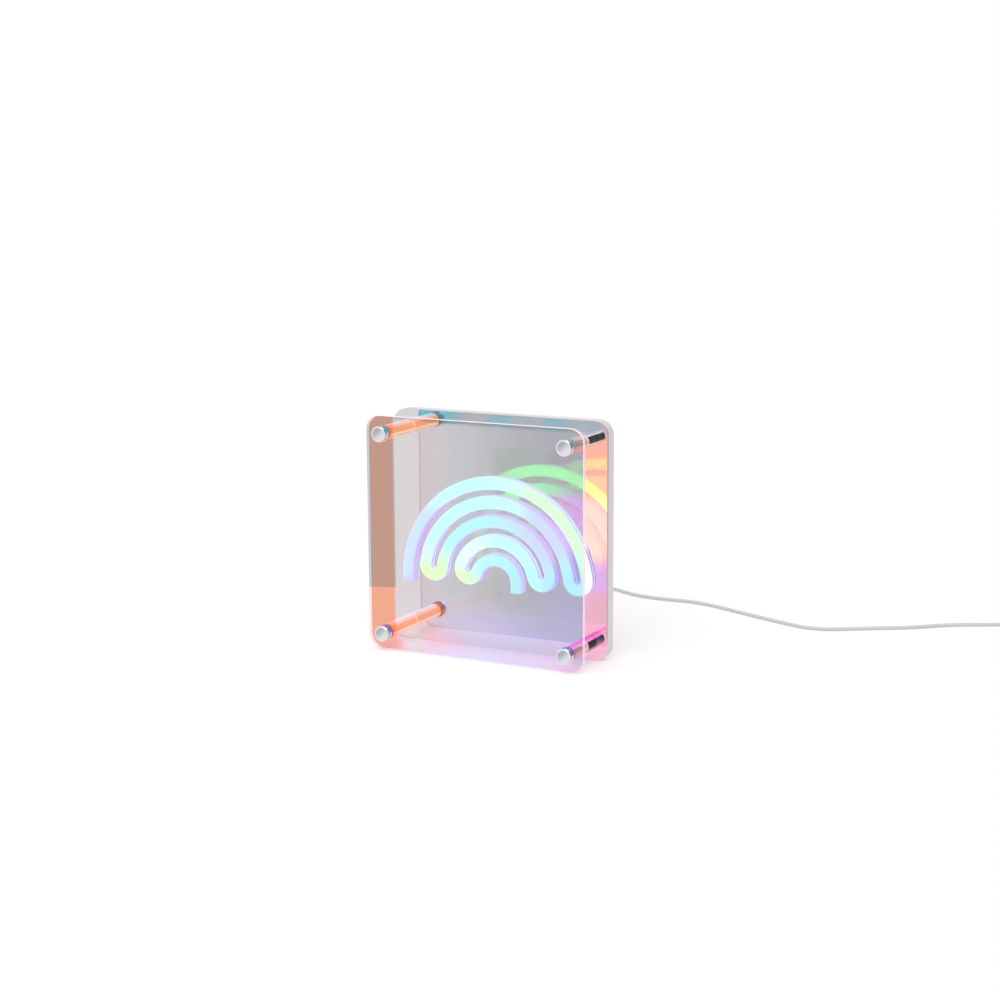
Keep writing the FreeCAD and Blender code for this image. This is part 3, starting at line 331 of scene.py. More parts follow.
MOULD_SHADE = 0.92
MOULD_CLOUD = 40
MOULD_CLOUD_DETAIL = 3.0
MOULD_GRAIN_DETAIL = 2.0
MOULD_GRAIN_STRENGTH = 0.4
MOULD_GLOSS_SPREAD = 0.12
METAL_SHADE = 0.9
METAL_CLOUD_SCALE = 60.0
METAL_GLOSS_SPREAD = 0.05
METAL_GLOSS_SHIFT = 0.02
POLISH_SCALE = 900.0
POLISH_DETAIL = 2.0


def moulded(name, shown, roughness, grain, depth):
    """Moulded plastic or rubber with a fine grain and slightly uneven colour and gloss."""
    finish = Finish(name)
    relief = finish.noise(grain, MOULD_GRAIN_DETAIL)
    cloud = finish.noise(grain / MOULD_CLOUD, MOULD_CLOUD_DETAIL)
    base = linear(shown)
    gloss = finish.calc("ADD", finish.both(cloud, MOULD_GLOSS_SPREAD), roughness - MOULD_GLOSS_SPREAD / 2)
    bump = finish.made("ShaderNodeBump",
                       {"Height": relief, "Distance": depth, "Strength": MOULD_GRAIN_STRENGTH})
    return finish.wear(finish.principled(
        base_color=finish.mix(cloud, shaded(base, MOULD_SHADE), base), roughness=gloss, normal=bump))


def metal(name, shown, roughness):
    """Plated metal with faint polishing marks."""
    finish = Finish(name)
    marks = finish.noise(POLISH_SCALE, POLISH_DETAIL)
    cloud = finish.noise(METAL_CLOUD_SCALE, POLISH_DETAIL)
    base = linear(shown)
    gloss = finish.calc("ADD", finish.both(marks, METAL_GLOSS_SPREAD), roughness - METAL_GLOSS_SHIFT)
    return finish.wear(finish.principled(
        base_color=finish.mix(cloud, shaded(base, METAL_SHADE), base), metallic=1.0, roughness=gloss))


class PanelSettings(PropertyGroup):
    """Clear panel and its iridescent film."""

    clear: colour("Clear", "Tint of the clear plate", "fdfdff")
    # The two edge colours are the colours of a painted glow on the plate's upper and right edges.
    edge: colour("Edge", "Colour of the plate's polished edges", "fbd9d8")
    edge_low: colour("Edge, low", "Colour of the polished edges near the table", "efcdf2")
    pass_middle: colour("Seen through, middle", "Light that the film lets in", "e1dad8")
    pass_low: colour("Seen through, low", "Light that the lower right lets in", "ebdef1")
    pass_low_left: colour("Seen through, low left", "Light that the lower left lets in", "e5dbdf")
    pass_left: colour("Seen through, left", "Light that the left border lets in", "f4ac8b")
    pass_rose: colour("Seen through, lower left", "Light that the lower left border lets in", "fcc6d2")
    pass_corner: colour("Seen through, corner", "Light that the lower left corner lets in", "f0b2ac")
    pass_hem_left: colour("Seen through, left hem", "Light that the lowest left edge lets in", "fcd8e8")
    pass_hem: colour("Seen through, hem", "Light that the lowest edge lets in", "f8e6fc")
    # The glint colour is a painted highlight near the mirror's lower left corner.
    pass_glint: colour("Seen through, glint", "Light let in by the mirror's lower left corner", "e8e4e6")
    pass_lilac: colour("Seen through, lower right", "Light that the lower right border lets in", "e7d9ef")
    leave_left: colour("Seen from within, left", "Light that the left half lets out", "e2eae8")
    leave_blush: colour("Seen from within, edge", "Light that the left edge lets out", "eae4e4")
    leave_coral: colour("Seen from within, corner", "Light let out round the lower left stand-off", "f0a07c")
    leave_right: colour("Seen from within, right", "Light that the right half lets out", "c3c9cc")
    leave_green: colour("Green zone, let out", "Light that the green zone lets out", "c6aad0")
    leave_lilac: colour("Lilac zone, let out", "Light that the lilac zone lets out", "d4c6cc")
    leave_peach: colour("Peach zone, let out", "Light that the peach zone lets out", "f3c2ae")
    leave_yellow: colour("Yellow zone, let out", "Light that the yellow zone lets out", "ffa8a6")
    leave_pink: colour("Pink zone, let out", "Light that the pink zone lets out", "daaab1")
    leave_slate: colour("Top zone, let out", "Light that the top zone lets out", "cdd4d5")
    leave_teal: colour("Teal patches, let out", "Light that the top zone's patches let out", "86dae4")
    throw_plain: colour("Thrown back", "Light that the film throws back inside", "595964")
    throw_green: colour("Green zone, thrown back", "Light that the green zone throws back", "45aa3f")
    throw_lilac: colour("Lilac zone, thrown back", "Light that the lilac zone throws back", "a858a8")
    throw_peach: colour("Peach zone, thrown back", "Light that the peach zone throws back", "bc8e74")
    throw_yellow: colour("Yellow zone, thrown back", "Light that the yellow zone throws back", "bc9027")
    throw_pink: colour("Pink zone, thrown back", "Light that the pink zone throws back", "aa6583")
    leave_violet: colour("Violet zone, let out", "Light that the violet zone lets out", "dfb2e6")
    throw_violet: colour("Violet zone, thrown back", "Light that the violet zone throws back", "744a78")
    throw_slate: colour("Top zone, thrown back", "Light that the top zone throws back", "3f5059")
    sheen: colour("Sheen", "Light that the film throws back to the front", "1a1a1c")
    slant: colour("Slant", "Light that the film throws back at a slant", "b98fb4")


class MirrorSettings(PropertyGroup):
    """Mirror behind the tube."""

    silver: colour("Silver", "Colour of the mirror's face", "f6f6f7")
    silver_top: colour("Silver, top", "Colour of the mirror's top border", "d2d3d7")
    # Painted pink reflection and glow for the mirror's lower right corner.
    painted_corner_glow: colour("Silver, lower right", "Colour of the mirror's lower right corner", "f0bcd0")
    edge: colour("Edge", "Colour of the mirror's cut edge", "d6b3b9")
    halo: colour("Halo", "Colour of the tube's light on the mirror", "8a6cff")


class TubeSettings(PropertyGroup):
    """Light tube."""

    strength: FloatProperty(name="Strength", description="Brightness of the lit tube", default=2.5, min=0)
    silicone: colour("Silicone", "Colour of the unlit tube", "50505a")
    cyan: colour("Cyan", "Main colour of the arcs", "93ffff")
    deep: colour("Deep cyan", "Colour of the innermost and the middle arc", "88c0d0")
    lilac: colour("Lilac", "Colour of the arcs' left foot and right side", "99a9c8")
    lime: colour("Lime", "Colour of the left turns", "a8f294")
    green: colour("Green", "Colour of the outer arc's right side", "a3ffa6")
    pale: colour("Pale", "Colour of the inner arcs' left side", "aeffff")
    sky: colour("Sky", "Colour of the right turn and the inner end", "83b9cc")
    blush: colour("Blush", "Colour of the right turn's outer side", "a5a4a6")
    blush_low: colour("Blush, low", "Colour of the right turn's lowest outer side", "979ca0")
    # The colours of the right turn's outer flank, the sides within the right turn, the flank and the
    # underside are painted shade on the tube's sides.
    blush_flank_shade: colour("Blush, flank", "Colour of the right turn's outer flank", "6e5e91")
    cleft_shade: colour("Cleft", "Colour of the tube's sides within the right turn", "8071b3")
    violet: colour("Violet", "Colour of the left foot's end", "9a8cd0")
    flank: colour("Flank", "Colour of the tube's sides", "9a8cc0")
    underside: colour("Underside", "Colour of the tube's lower sides", "9a70d0")


class ShellSettings(PropertyGroup):
    """Housing, stand-offs and fittings."""

    white: colour("White", "Colour of the moulded tray", "f4eff3")
    chrome: colour("Chrome", "Colour of the plated stand-offs", "dcdde0")
    dish: colour("Dish", "Colour of the caps' dished faces", "e6e7ea")
    # Painted shade on one side of the dished faces.
    dish_shade: colour("Dish, dark side", "Colour of the dished faces' darker side", "b4b6bb")
    # The next four colours are painted reflections and highlights of the film's light on the left barrels;
    # the first is also painted on the caps' backs.
    rose_reflection: colour("Rose", "Tint of the left barrels", "f3bcae")
    ice_highlight: colour("Ice", "Tint of the left barrels' top", "dfe8fa")
    orange_reflection: colour("Orange", "Tint of the left barrels' upper side", "ffa87c")
    cream_reflection: colour("Cream", "Tint of a line along the left barrels", "ffe3b4")
    # Pewter, dusk, magenta and mauve are painted reflections of the film's light on the right barrels.
    pewter: colour("Pewter", "Tint of the upper right barrel near the film", "cdc0c5")
    dusk: colour("Dusk", "Tint of the right barrels' sides near the film", "d0aba6")
    magenta: colour("Magenta", "Tint of the lower right barrel's top", "f57fd2")
    mauve: colour("Mauve", "Tint of the lower right barrel's underside", "a497ae")
    # Teal and violet are painted reflections of the film's colours on the caps' rear rings.
    teal: colour("Teal", "Tint of the upper caps' rear rings", "58b4cc")
    violet: colour("Violet", "Tint of the lower caps' rear rings", "5f74dc")
    # A painted dark reflection on the right barrels.
    dark_reflection: colour("Jet", "Tint of the right barrels' dark half", "0c0c0e")
    # Painted shade in the caps' groove and in the line between their rear rings.
    groove: colour("Groove", "Tint of the caps' groove and of the line between their rear rings", "2a3440")
    steel: colour("Steel", "Colour of screws and studs", "b9bcc0")
    washer: colour("Washer", "Colour of the soft washers", "e6e4e0")
    board: colour("Board", "Colour of the circuit board", "2f6b45")
    chip: colour("Chip", "Colour of the light chips", "f2d34a")
    black: colour("Black", "Colour of black plastic parts", "1d1d20")
    knob: colour("Knob", "Colour of the switch's knob", "5c5f64")
    wire: colour("Wire", "Colour of the thin wires", "b3262a")


CORD_BEVEL_STEPS = 4
CORD_STEPS = 6
CORD_ORDER = 3


class LAMP_OT_cord(Operator):
    """Lay the cord and dress its strain relief, tie and plug"""

    bl_idname = "rainbow_lamp.cord"
    bl_label = "Cord"

    def execute(self, context):
        settings = context.scene.lamp_cord
        data = bpy.data.curves.new("power_cord", "CURVE")
        data.dimensions = "3D"
        data.bevel_depth = settings.diameter / 2
        data.bevel_resolution = CORD_BEVEL_STEPS
        data.resolution_u = CORD_STEPS
        route = cord_route(settings)
        line = data.splines.new("NURBS")
        line.points.add(len(route) - 1)
        for point, place in zip(line.points, route):
            point.co = (*place, 1.0)
        line.order_u = CORD_ORDER
        line.use_endpoint_u = True
        line.use_smooth = True
        cord = bpy.data.objects.new("power_cord", data)
        context.scene.collection.objects.link(cord)
        jacket = moulded("cord_jacket", settings.jacket, roughness=0.38, grain=900.0, depth=0.00008)
        data.materials.append(jacket)
        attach(cord, "lamp")
        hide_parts("cord", "cord_coil", "cord_tail")
        dress(moulded("cord_rubber", settings.jacket, roughness=0.45, grain=700.0, depth=0.0001),
              "strain_relief", "plug_body")
        dress(moulded("strap_cloth", settings.strap, roughness=0.8, grain=1500.0, depth=0.0003),
              "cord_tie", "plug_tongue")
        dress(metal("plug_nickel", context.scene.lamp_shell.steel, roughness=0.22), "plug_shell")
        return {"FINISHED"}


# Clear plate and its edges, the upper and right ones with a painted glow.
PLATE_IOR = 1.2
PLATE_ROUGHNESS = 0.02
PLATE_SHINE = 0.3
EDGE_TINT = 0.3
EDGE_ROUGHNESS = 0.15
EDGE_GLOW = 0.3
EDGE_LOW_Z = (0.090, 0.050)
EDGE_RIGHT_X = (0.085, 0.097)
EDGE_TOP_Z = (0.185, 0.197)

# Film as seen through from the front.
PASS_RIGHTWARD_X = (-0.060, 0.020)
PASS_LOW_Z = (0.066, 0.028)
PASS_BORDER_Z = (0.030, 0.010)
PASS_HEM_Z = (0.016, 0.004)
PASS_LEFT_X = (-0.0748, -0.0778)
PASS_CORNER_X = (-0.040, -0.086)
PASS_CORNER_Z = (0.022, 0.004)
# Painted highlight: a paler patch in the film's see-through colour near the mirror's lower left corner.
PAINTED_GLINT_ZONE = ((-0.060, 0.012), 0.018, 0.004)
SHEEN_BLEND = 0.5
SHEEN_SLANT = (0.35, 0.75)

# Film on the mirror's side. Its reflections lean by a small vector.
FILM_LEAN = (-0.055, 0.0, 0.026)
FILM_MIDDLE = (FILM_LOW.y + FILM_HIGH.y) / 2
FILM_ROUGHNESS = 0.01
LEAVE_RIGHTWARD_X = (-0.100, 0.050)
BLUSH_X = (-0.064, -0.092)
GREEN_ZONE = ((0.020, 0.147), 0.054, 0.038)
GREEN_TOP_Z = (0.172, 0.160)
LILAC_ZONE = ((0.047, 0.102), 0.034, 0.020)
PEACH_X = (0.0575, 0.0625)
YELLOW_Z = (0.122, 0.134)
PINK_Z = (0.084, 0.068)
VIOLET_ZONE = ((0.074, 0.058), 0.018, 0.003)
CORAL_ZONE = ((-0.0825, 0.0163), 0.0076, 0.0068)
TOP_Z = (0.1815, 0.1835)
TEAL_X = (-0.050, -0.072)
PATCH_SCALE = 52.0
PATCH_DETAIL = 1.0
PATCH_EDGE = (0.52, 0.58)
PATCH_SHARE = 0.5


class LAMP_OT_panel(Operator):
    """Dress the clear panel and the iridescent film on its back"""

    bl_idname = "rainbow_lamp.panel"
    bl_label = "Panel and film"

    def execute(self, context):
        settings = context.scene.lamp_panel
        dress(self.acrylic(settings), "front_panel")
        dress(self.film(settings), "iridescent_film")
        return {"FINISHED"}

    def acrylic(self, settings):
        """Clear plate: see-through faces, and upper and right edges whose painted glow stands for the tube's
        light.
        """
        finish = Finish("clear_acrylic")
        on_edge = finish.on_edge()
        tint = finish.mix(finish.both(on_edge, EDGE_TINT), settings.clear, self.passing(finish, settings))
        clear = finish.made("ShaderNodeBsdfTransparent", {"Color": tint})
        gloss = finish.made("ShaderNodeBsdfGlossy", {"Color": WHITE, "Roughness": PLATE_ROUGHNESS})
        fresnel = finish.made("ShaderNodeFresnel", {"IOR": PLATE_IOR})
        shine = finish.both(finish.both(fresnel, PLATE_SHINE), finish.rest(on_edge))
        face = finish.blend(shine, clear, gloss)
        x, _, z = finish.axes()
        # Painted glow: the upper and right cut edges give off pale pink light as emission.
        rim = finish.mix(finish.rise(z, *EDGE_LOW_Z), settings.edge, settings.edge_low)
        edge = finish.principled(base_color=rim, roughness=EDGE_ROUGHNESS,
                                 emission_color=rim, emission_strength=EDGE_GLOW)
        upper_or_right = finish.either(finish.rise(x, *EDGE_RIGHT_X), finish.rise(z, *EDGE_TOP_Z))
        return finish.wear(finish.blend(finish.both(on_edge, upper_or_right), face, edge))

    def film(self, settings):
        """Film whose colours change over its face and differ from within and from outside."""
        finish = Finish("iridescent_film")
        _, y, _ = finish.axes()
        on_back = finish.calc("GREATER_THAN", y, FILM_MIDDLE)
        geometry = finish.add("ShaderNodeNewGeometry").outputs
        from_front = geometry["Backfacing"]
        leaving, thrown_inside = self.inside(finish, settings)
        let_through = finish.mix(from_front, leaving, self.passing(finish, settings))
        thrown_back = finish.mix(from_front, thrown_inside, self.sheen(finish, settings))
        clear = finish.made("ShaderNodeBsdfTransparent", {"Color": let_through})
        lean = finish.made("ShaderNodeVectorMath", {0: FILM_LEAN, "Scale": finish.rest(from_front)},
                           operation="SCALE")
        leaning = finish.made("ShaderNodeVectorMath", {0: geometry["Normal"], 1: lean}, operation="ADD")
        gloss = finish.made("ShaderNodeBsdfGlossy",
                            {"Color": thrown_back, "Roughness": FILM_ROUGHNESS, "Normal": leaning})
        coated = finish.made("ShaderNodeAddShader", {0: clear, 1: gloss})
        bare = finish.made("ShaderNodeBsdfTransparent", {"Color": WHITE})
        return finish.wear(finish.blend(on_back, bare, coated))

    def passing(self, finish, settings):
        """Colour of what is seen through the film from the front."""
        x, _, z = finish.axes()
        along = finish.rise(x, *PASS_RIGHTWARD_X)
        shown = settings.pass_middle
        for height, left, right in (
                (PASS_LOW_Z, settings.pass_low_left, settings.pass_low),
                (PASS_BORDER_Z, settings.pass_rose, settings.pass_lilac),
                (PASS_HEM_Z, settings.pass_hem_left, settings.pass_hem)):
            shown = finish.mix(finish.rise(z, *height), shown, finish.mix(along, left, right))
        corner = finish.rise(z, *PASS_CORNER_Z)
        sharp = finish.both(finish.rise(x, *PASS_LEFT_X), finish.rest(corner))
        soft = finish.both(finish.rise(x, *PASS_CORNER_X), corner)
        border = finish.mix(corner, settings.pass_left, settings.pass_corner)
        shown = finish.mix(finish.calc("ADD", sharp, soft), shown, border)
        # Painted highlight near the mirror's lower left corner.
        return finish.mix(finish.glow_round(*PAINTED_GLINT_ZONE), shown, settings.pass_glint)

    def inside(self, finish, settings):
        """Colours that the film lets out and throws back on the mirror's side."""
        x, _, z = finish.axes()
        out = finish.mix(finish.rise(x, *LEAVE_RIGHTWARD_X), settings.leave_left, settings.leave_right)
        back = settings.throw_plain
        green = finish.both(finish.glow_round(*GREEN_ZONE), finish.rise(z, *GREEN_TOP_Z))
        peach = finish.rise(x, *PEACH_X)
        yellow = finish.both(peach, finish.rise(z, *YELLOW_Z))
        pink = finish.both(peach, finish.rise(z, *PINK_Z))
        for zone, let_out, thrown in (
                (finish.rise(x, *BLUSH_X), settings.leave_blush, settings.throw_plain),
                (green, settings.leave_green, settings.throw_green),
                (finish.glow_round(*LILAC_ZONE), settings.leave_lilac, settings.throw_lilac),
                (peach, settings.leave_peach, settings.throw_peach),
                (yellow, settings.leave_yellow, settings.throw_yellow),
                (pink, settings.leave_pink, settings.throw_pink),
                (finish.glow_round(*VIOLET_ZONE), settings.leave_violet, settings.throw_violet),
                (finish.glow_round(*CORAL_ZONE), settings.leave_coral, settings.throw_plain)):
            out = finish.mix(zone, out, let_out)
            back = finish.mix(zone, back, thrown)
        patches = finish.both(finish.rise(finish.noise(PATCH_SCALE, PATCH_DETAIL), *PATCH_EDGE), PATCH_SHARE)
        teal = finish.either(finish.rise(x, *TEAL_X), patches)
        top = finish.mix(teal, settings.leave_slate, settings.leave_teal)
        on_top = finish.rise(z, *TOP_Z)
        return finish.mix(on_top, out, top), finish.mix(on_top, back, settings.throw_slate)

    def sheen(self, finish, settings):
        """Colour of the film's front reflections, stronger at a slant."""
        slanting = finish.add("ShaderNodeLayerWeight", {"Blend": SHEEN_BLEND}).outputs["Facing"]
        return finish.mix(finish.rise(slanting, *SHEEN_SLANT), settings.sheen, settings.slant)


MIRROR_TOP_Z = (0.188, 0.192)
# Painted light: the mirror's lower right corner takes a pink tint and glow for reflected light, and a violet
# halo glows for the tube's light.
PAINTED_GLOW_CORNER = ((0.096, 0.004), 0.020, 0.010)
CORNER_GLOW = 0.25
HALO_ZONE = ((0.062, 0.050), 0.034, 0.008)
HALO_GLOW = 0.17
HAZE_SCALE = 35.0
HAZE_DETAIL = 3.0
HAZE_ROUGHNESS = 0.01
CUT_ROUGHNESS = 0.3


class LAMP_OT_mirror(Operator):
    """Dress the mirror, with a painted pink glow in its lower right corner and a painted halo of the tube's
    light
    """

    bl_idname = "rainbow_lamp.mirror"
    bl_label = "Mirror"

    def execute(self, context):
        settings = context.scene.lamp_mirror
        finish = Finish("mirror_silver")
        on_edge = finish.on_edge()
        on_face = finish.rest(on_edge)
        _, _, z = finish.axes()
        # Painted reflection and glow in the lower right corner, and a painted halo of the tube's light, both
        # given as emission.
        corner = finish.glow_round(*PAINTED_GLOW_CORNER)
        face = finish.mix(finish.rise(z, *MIRROR_TOP_Z), settings.silver, settings.silver_top)
        face = finish.mix(corner, face, settings.painted_corner_glow)
        halo = finish.both(finish.glow_round(*HALO_ZONE), on_face)
        haze = finish.noise(HAZE_SCALE, HAZE_DETAIL)
        shader = finish.principled(
            base_color=finish.mix(on_edge, face, settings.edge),
            metallic=on_face,
            emission_color=finish.mix(corner, settings.halo, settings.painted_corner_glow),
            emission_strength=finish.calc(
                "ADD", finish.both(corner, CORNER_GLOW), finish.both(halo, HALO_GLOW)),
            roughness=finish.calc(
                "ADD", finish.both(haze, HAZE_ROUGHNESS), finish.both(on_edge, CUT_ROUGHNESS)))
        dress(finish.wear(shader), "mirror_panel")
        return {"FINISHED"}


# Arcs of the tube as zones round their centre, or as pairs of radii with a soft border.
ARC_CENTRE = (-0.0005, 0.058)
ARC_BORDER = 0.002
INNERMOST_ARC = (ARC_CENTRE, 0.030, 0.025)
SECOND_RADII = (0.0295, 0.0425)
INNER_ARCS = (ARC_CENTRE, 0.046, 0.042)
MIDDLE_RADII = (0.0455, 0.0585)
WITHIN_OUTER_ARC = (ARC_CENTRE, 0.079, 0.075)

# Parts of the tube with a colour of their own, and its sides with painted shade.
FALLING_X = (-0.016, 0.040)
FALLING_Z = (0.040, 0.090)
LEFT_FOOT = ((-0.082, 0.078), 0.082, 0.036)
LEFT_FOOT_SHARE = 0.93
LEFT_FOOT_END = ((-0.085, 0.040), 0.022, 0.004)
PALE_SIDE = ((-0.030, 0.078), 0.042, 0.008)
LEFT_TURN_OUTER = ((-0.063, 0.054), 0.046, 0.009)
LEFT_TURN_INNER = ((-0.035, 0.053), 0.034, 0.006)
INNER_END = ((0.020, 0.046), 0.042, 0.004)
RIGHT_TURN = ((0.073, 0.053), 0.048, 0.014)
RIGHT_CLEFT = ((0.068, 0.068), 0.026, 0.012)
RIGHT_RIM_X = (0.0795, 0.0835)
RIGHT_RIM_LOW_Z = (0.062, 0.046)
# Painted shade on the tube's sides: how far a side turns from the front, and how far it turns downwards.
RIGHT_RIM_FLANK_TURN = (0.55, 0.15)
SHADED_FLANK_TURN = (0.85, 0.40)
SHADED_UNDERSIDE_TURN = (0.1, -0.5)
SILICONE_ROUGHNESS = 0.4


class LAMP_OT_tube(Operator):
    """Light the tube and dress its strip, chips and tape"""

    bl_idname = "rainbow_lamp.tube"
    bl_label = "Light tube"

    def execute(self, context):
        shell = context.scene.lamp_shell
        dress(self.lit(context.scene.lamp_tube), "neon_tube", "tube_start_cap", "tube_end_cap")
        dress(moulded("tape_white", shell.washer, roughness=0.7, grain=700.0, depth=0.0001), "tube_tape")
        dress(moulded("strip_white", shell.white, roughness=0.5, grain=700.0, depth=0.00005), "led_strip")
        dress(moulded("chip_yellow", shell.chip, roughness=0.3, grain=700.0, depth=0.00005), "led_chips")
        return {"FINISHED"}

    def ring(self, finish, inner, outer):
        """One on the tube between two radii of its arcs."""
        past = finish.rest(finish.glow_round(ARC_CENTRE, inner, inner - ARC_BORDER))
        return finish.both(past, finish.glow_round(ARC_CENTRE, outer + ARC_BORDER, outer))

    def lit(self, settings):
        """Milky silicone, lit from inside in colours that change along the arcs, with painted shade in darker
        violet tints on its sides and underside.
        """
        finish = Finish("lit_silicone")
        x, _, z = finish.axes()
        outer = finish.rest(finish.glow_round(*WITHIN_OUTER_ARC))
        inner = finish.rest(outer)
        core = finish.either(finish.glow_round(*INNERMOST_ARC), self.ring(finish, *MIDDLE_RADII))
        between = finish.rest(finish.either(outer, finish.glow_round(*INNER_ARCS)))
        falling = finish.both(finish.rise(x, *FALLING_X), finish.rise(z, *FALLING_Z))
        foot = finish.both(outer, finish.glow_round(*LEFT_FOOT))
        glow = finish.mix(core, settings.cyan, settings.deep)
        glow = finish.mix(finish.both(between, falling), glow, settings.lilac)
        glow = finish.mix(finish.both(outer, falling), glow, settings.green)
        glow = finish.mix(finish.both(foot, LEFT_FOOT_SHARE), glow, settings.lilac)
        for share, zone, tint in (
                (self.ring(finish, *SECOND_RADII), PALE_SIDE, settings.pale),
                (inner, LEFT_TURN_OUTER, settings.lime),
                (inner, LEFT_TURN_INNER, settings.lime),
                (inner, INNER_END, settings.sky),
                (outer, LEFT_FOOT_END, settings.violet),
                (1.0, RIGHT_TURN, settings.sky)):
            glow = finish.mix(finish.both(finish.glow_round(*zone), share), glow, tint)
        # Painted shade: the sides and underside take darker violet tints, chosen by the way they face.
        _, facing_y, facing_z = finish.facing()
        forward = finish.calc("ABSOLUTE", facing_y)
        side = finish.mix(finish.rise(facing_z, *SHADED_UNDERSIDE_TURN), settings.flank, settings.underside)
        side = finish.mix(finish.glow_round(*RIGHT_CLEFT), side, settings.cleft_shade)
        glow = finish.mix(finish.rise(forward, *SHADED_FLANK_TURN), glow, side)
        rim = finish.mix(finish.rise(z, *RIGHT_RIM_LOW_Z), settings.blush, settings.blush_low)
        rim = finish.mix(finish.rise(forward, *RIGHT_RIM_FLANK_TURN), rim, settings.blush_flank_shade)
        glow = finish.mix(finish.both(outer, finish.rise(x, *RIGHT_RIM_X)), glow, rim)
        return finish.wear(finish.principled(
            base_color=settings.silicone, roughness=SILICONE_ROUGHNESS,
            emission_color=glow, emission_strength=settings.strength))


POLISH_ROUGHNESS = 0.06

# Caps: dished face with painted shade on one side, groove and the line between the two rear rings in painted
# dark shade, and painted reflections of the film's colours on the rear rings and back.
DISH_START = CAP_LOW.y + 0.00003
DISH_SLOPE = (-0.35, 0.35)
DISH_ROUGHNESS = 0.35
RING_START = CAP_LOW.y + 0.0026
RING_LINE = (RING_START + CAP_HIGH.y) / 2
RING_LINE_WIDTH = (0.0004, 0.00015)
RING_Y = (RING_START, RING_START + 0.0002)
RING_UPPER_TURN = (-0.05, 0.35)
GROOVE_Y = (RING_START - 0.0011, RING_START - 0.0008)
GROOVE_TURN = (-0.75, -0.65)
FRONT_TURN = (-0.75, -0.85)
BACK_TURN = (0.75, 0.85)
SIDE_TURN = (0.5, 0.3)
CAP_SATIN = 0.6
CAP_GLOW = 0.45

# Left barrels: bands of painted reflection along them, from below to a painted highlight at the top, and a
# pale painted highlight at the joint at the mirror.
CREAM_TURN = (-0.45, -0.30)
ORANGE_TURN = (-0.20, -0.05)
ROSE_TURN = (0.62, 0.80)
ICE_TURN = (0.93, 0.98)
JOINT_Y = (MIRROR_LOW.y - 0.0008, MIRROR_LOW.y - 0.0005)
LEFT_METALLIC = 0.1
LEFT_GLOW = 0.6
LEFT_ROUGHNESS = 0.12

# Right barrels: painted reflections, pale and glowing near the film, with a painted dark band beyond.
NEAR_FILM_Y = (0.004, 0.003)
PEWTER_FROM = 0.15
MAGENTA_FROM = 0.75
NEAR_TOP_FADE = 0.15
JET_TURN = (-0.30, -0.20)
FAR_TOP_TURN = (0.62, 0.72)
NEAR_SATIN = 0.7
NEAR_GLOW = 0.35
RIGHT_ROUGHNESS = 0.05


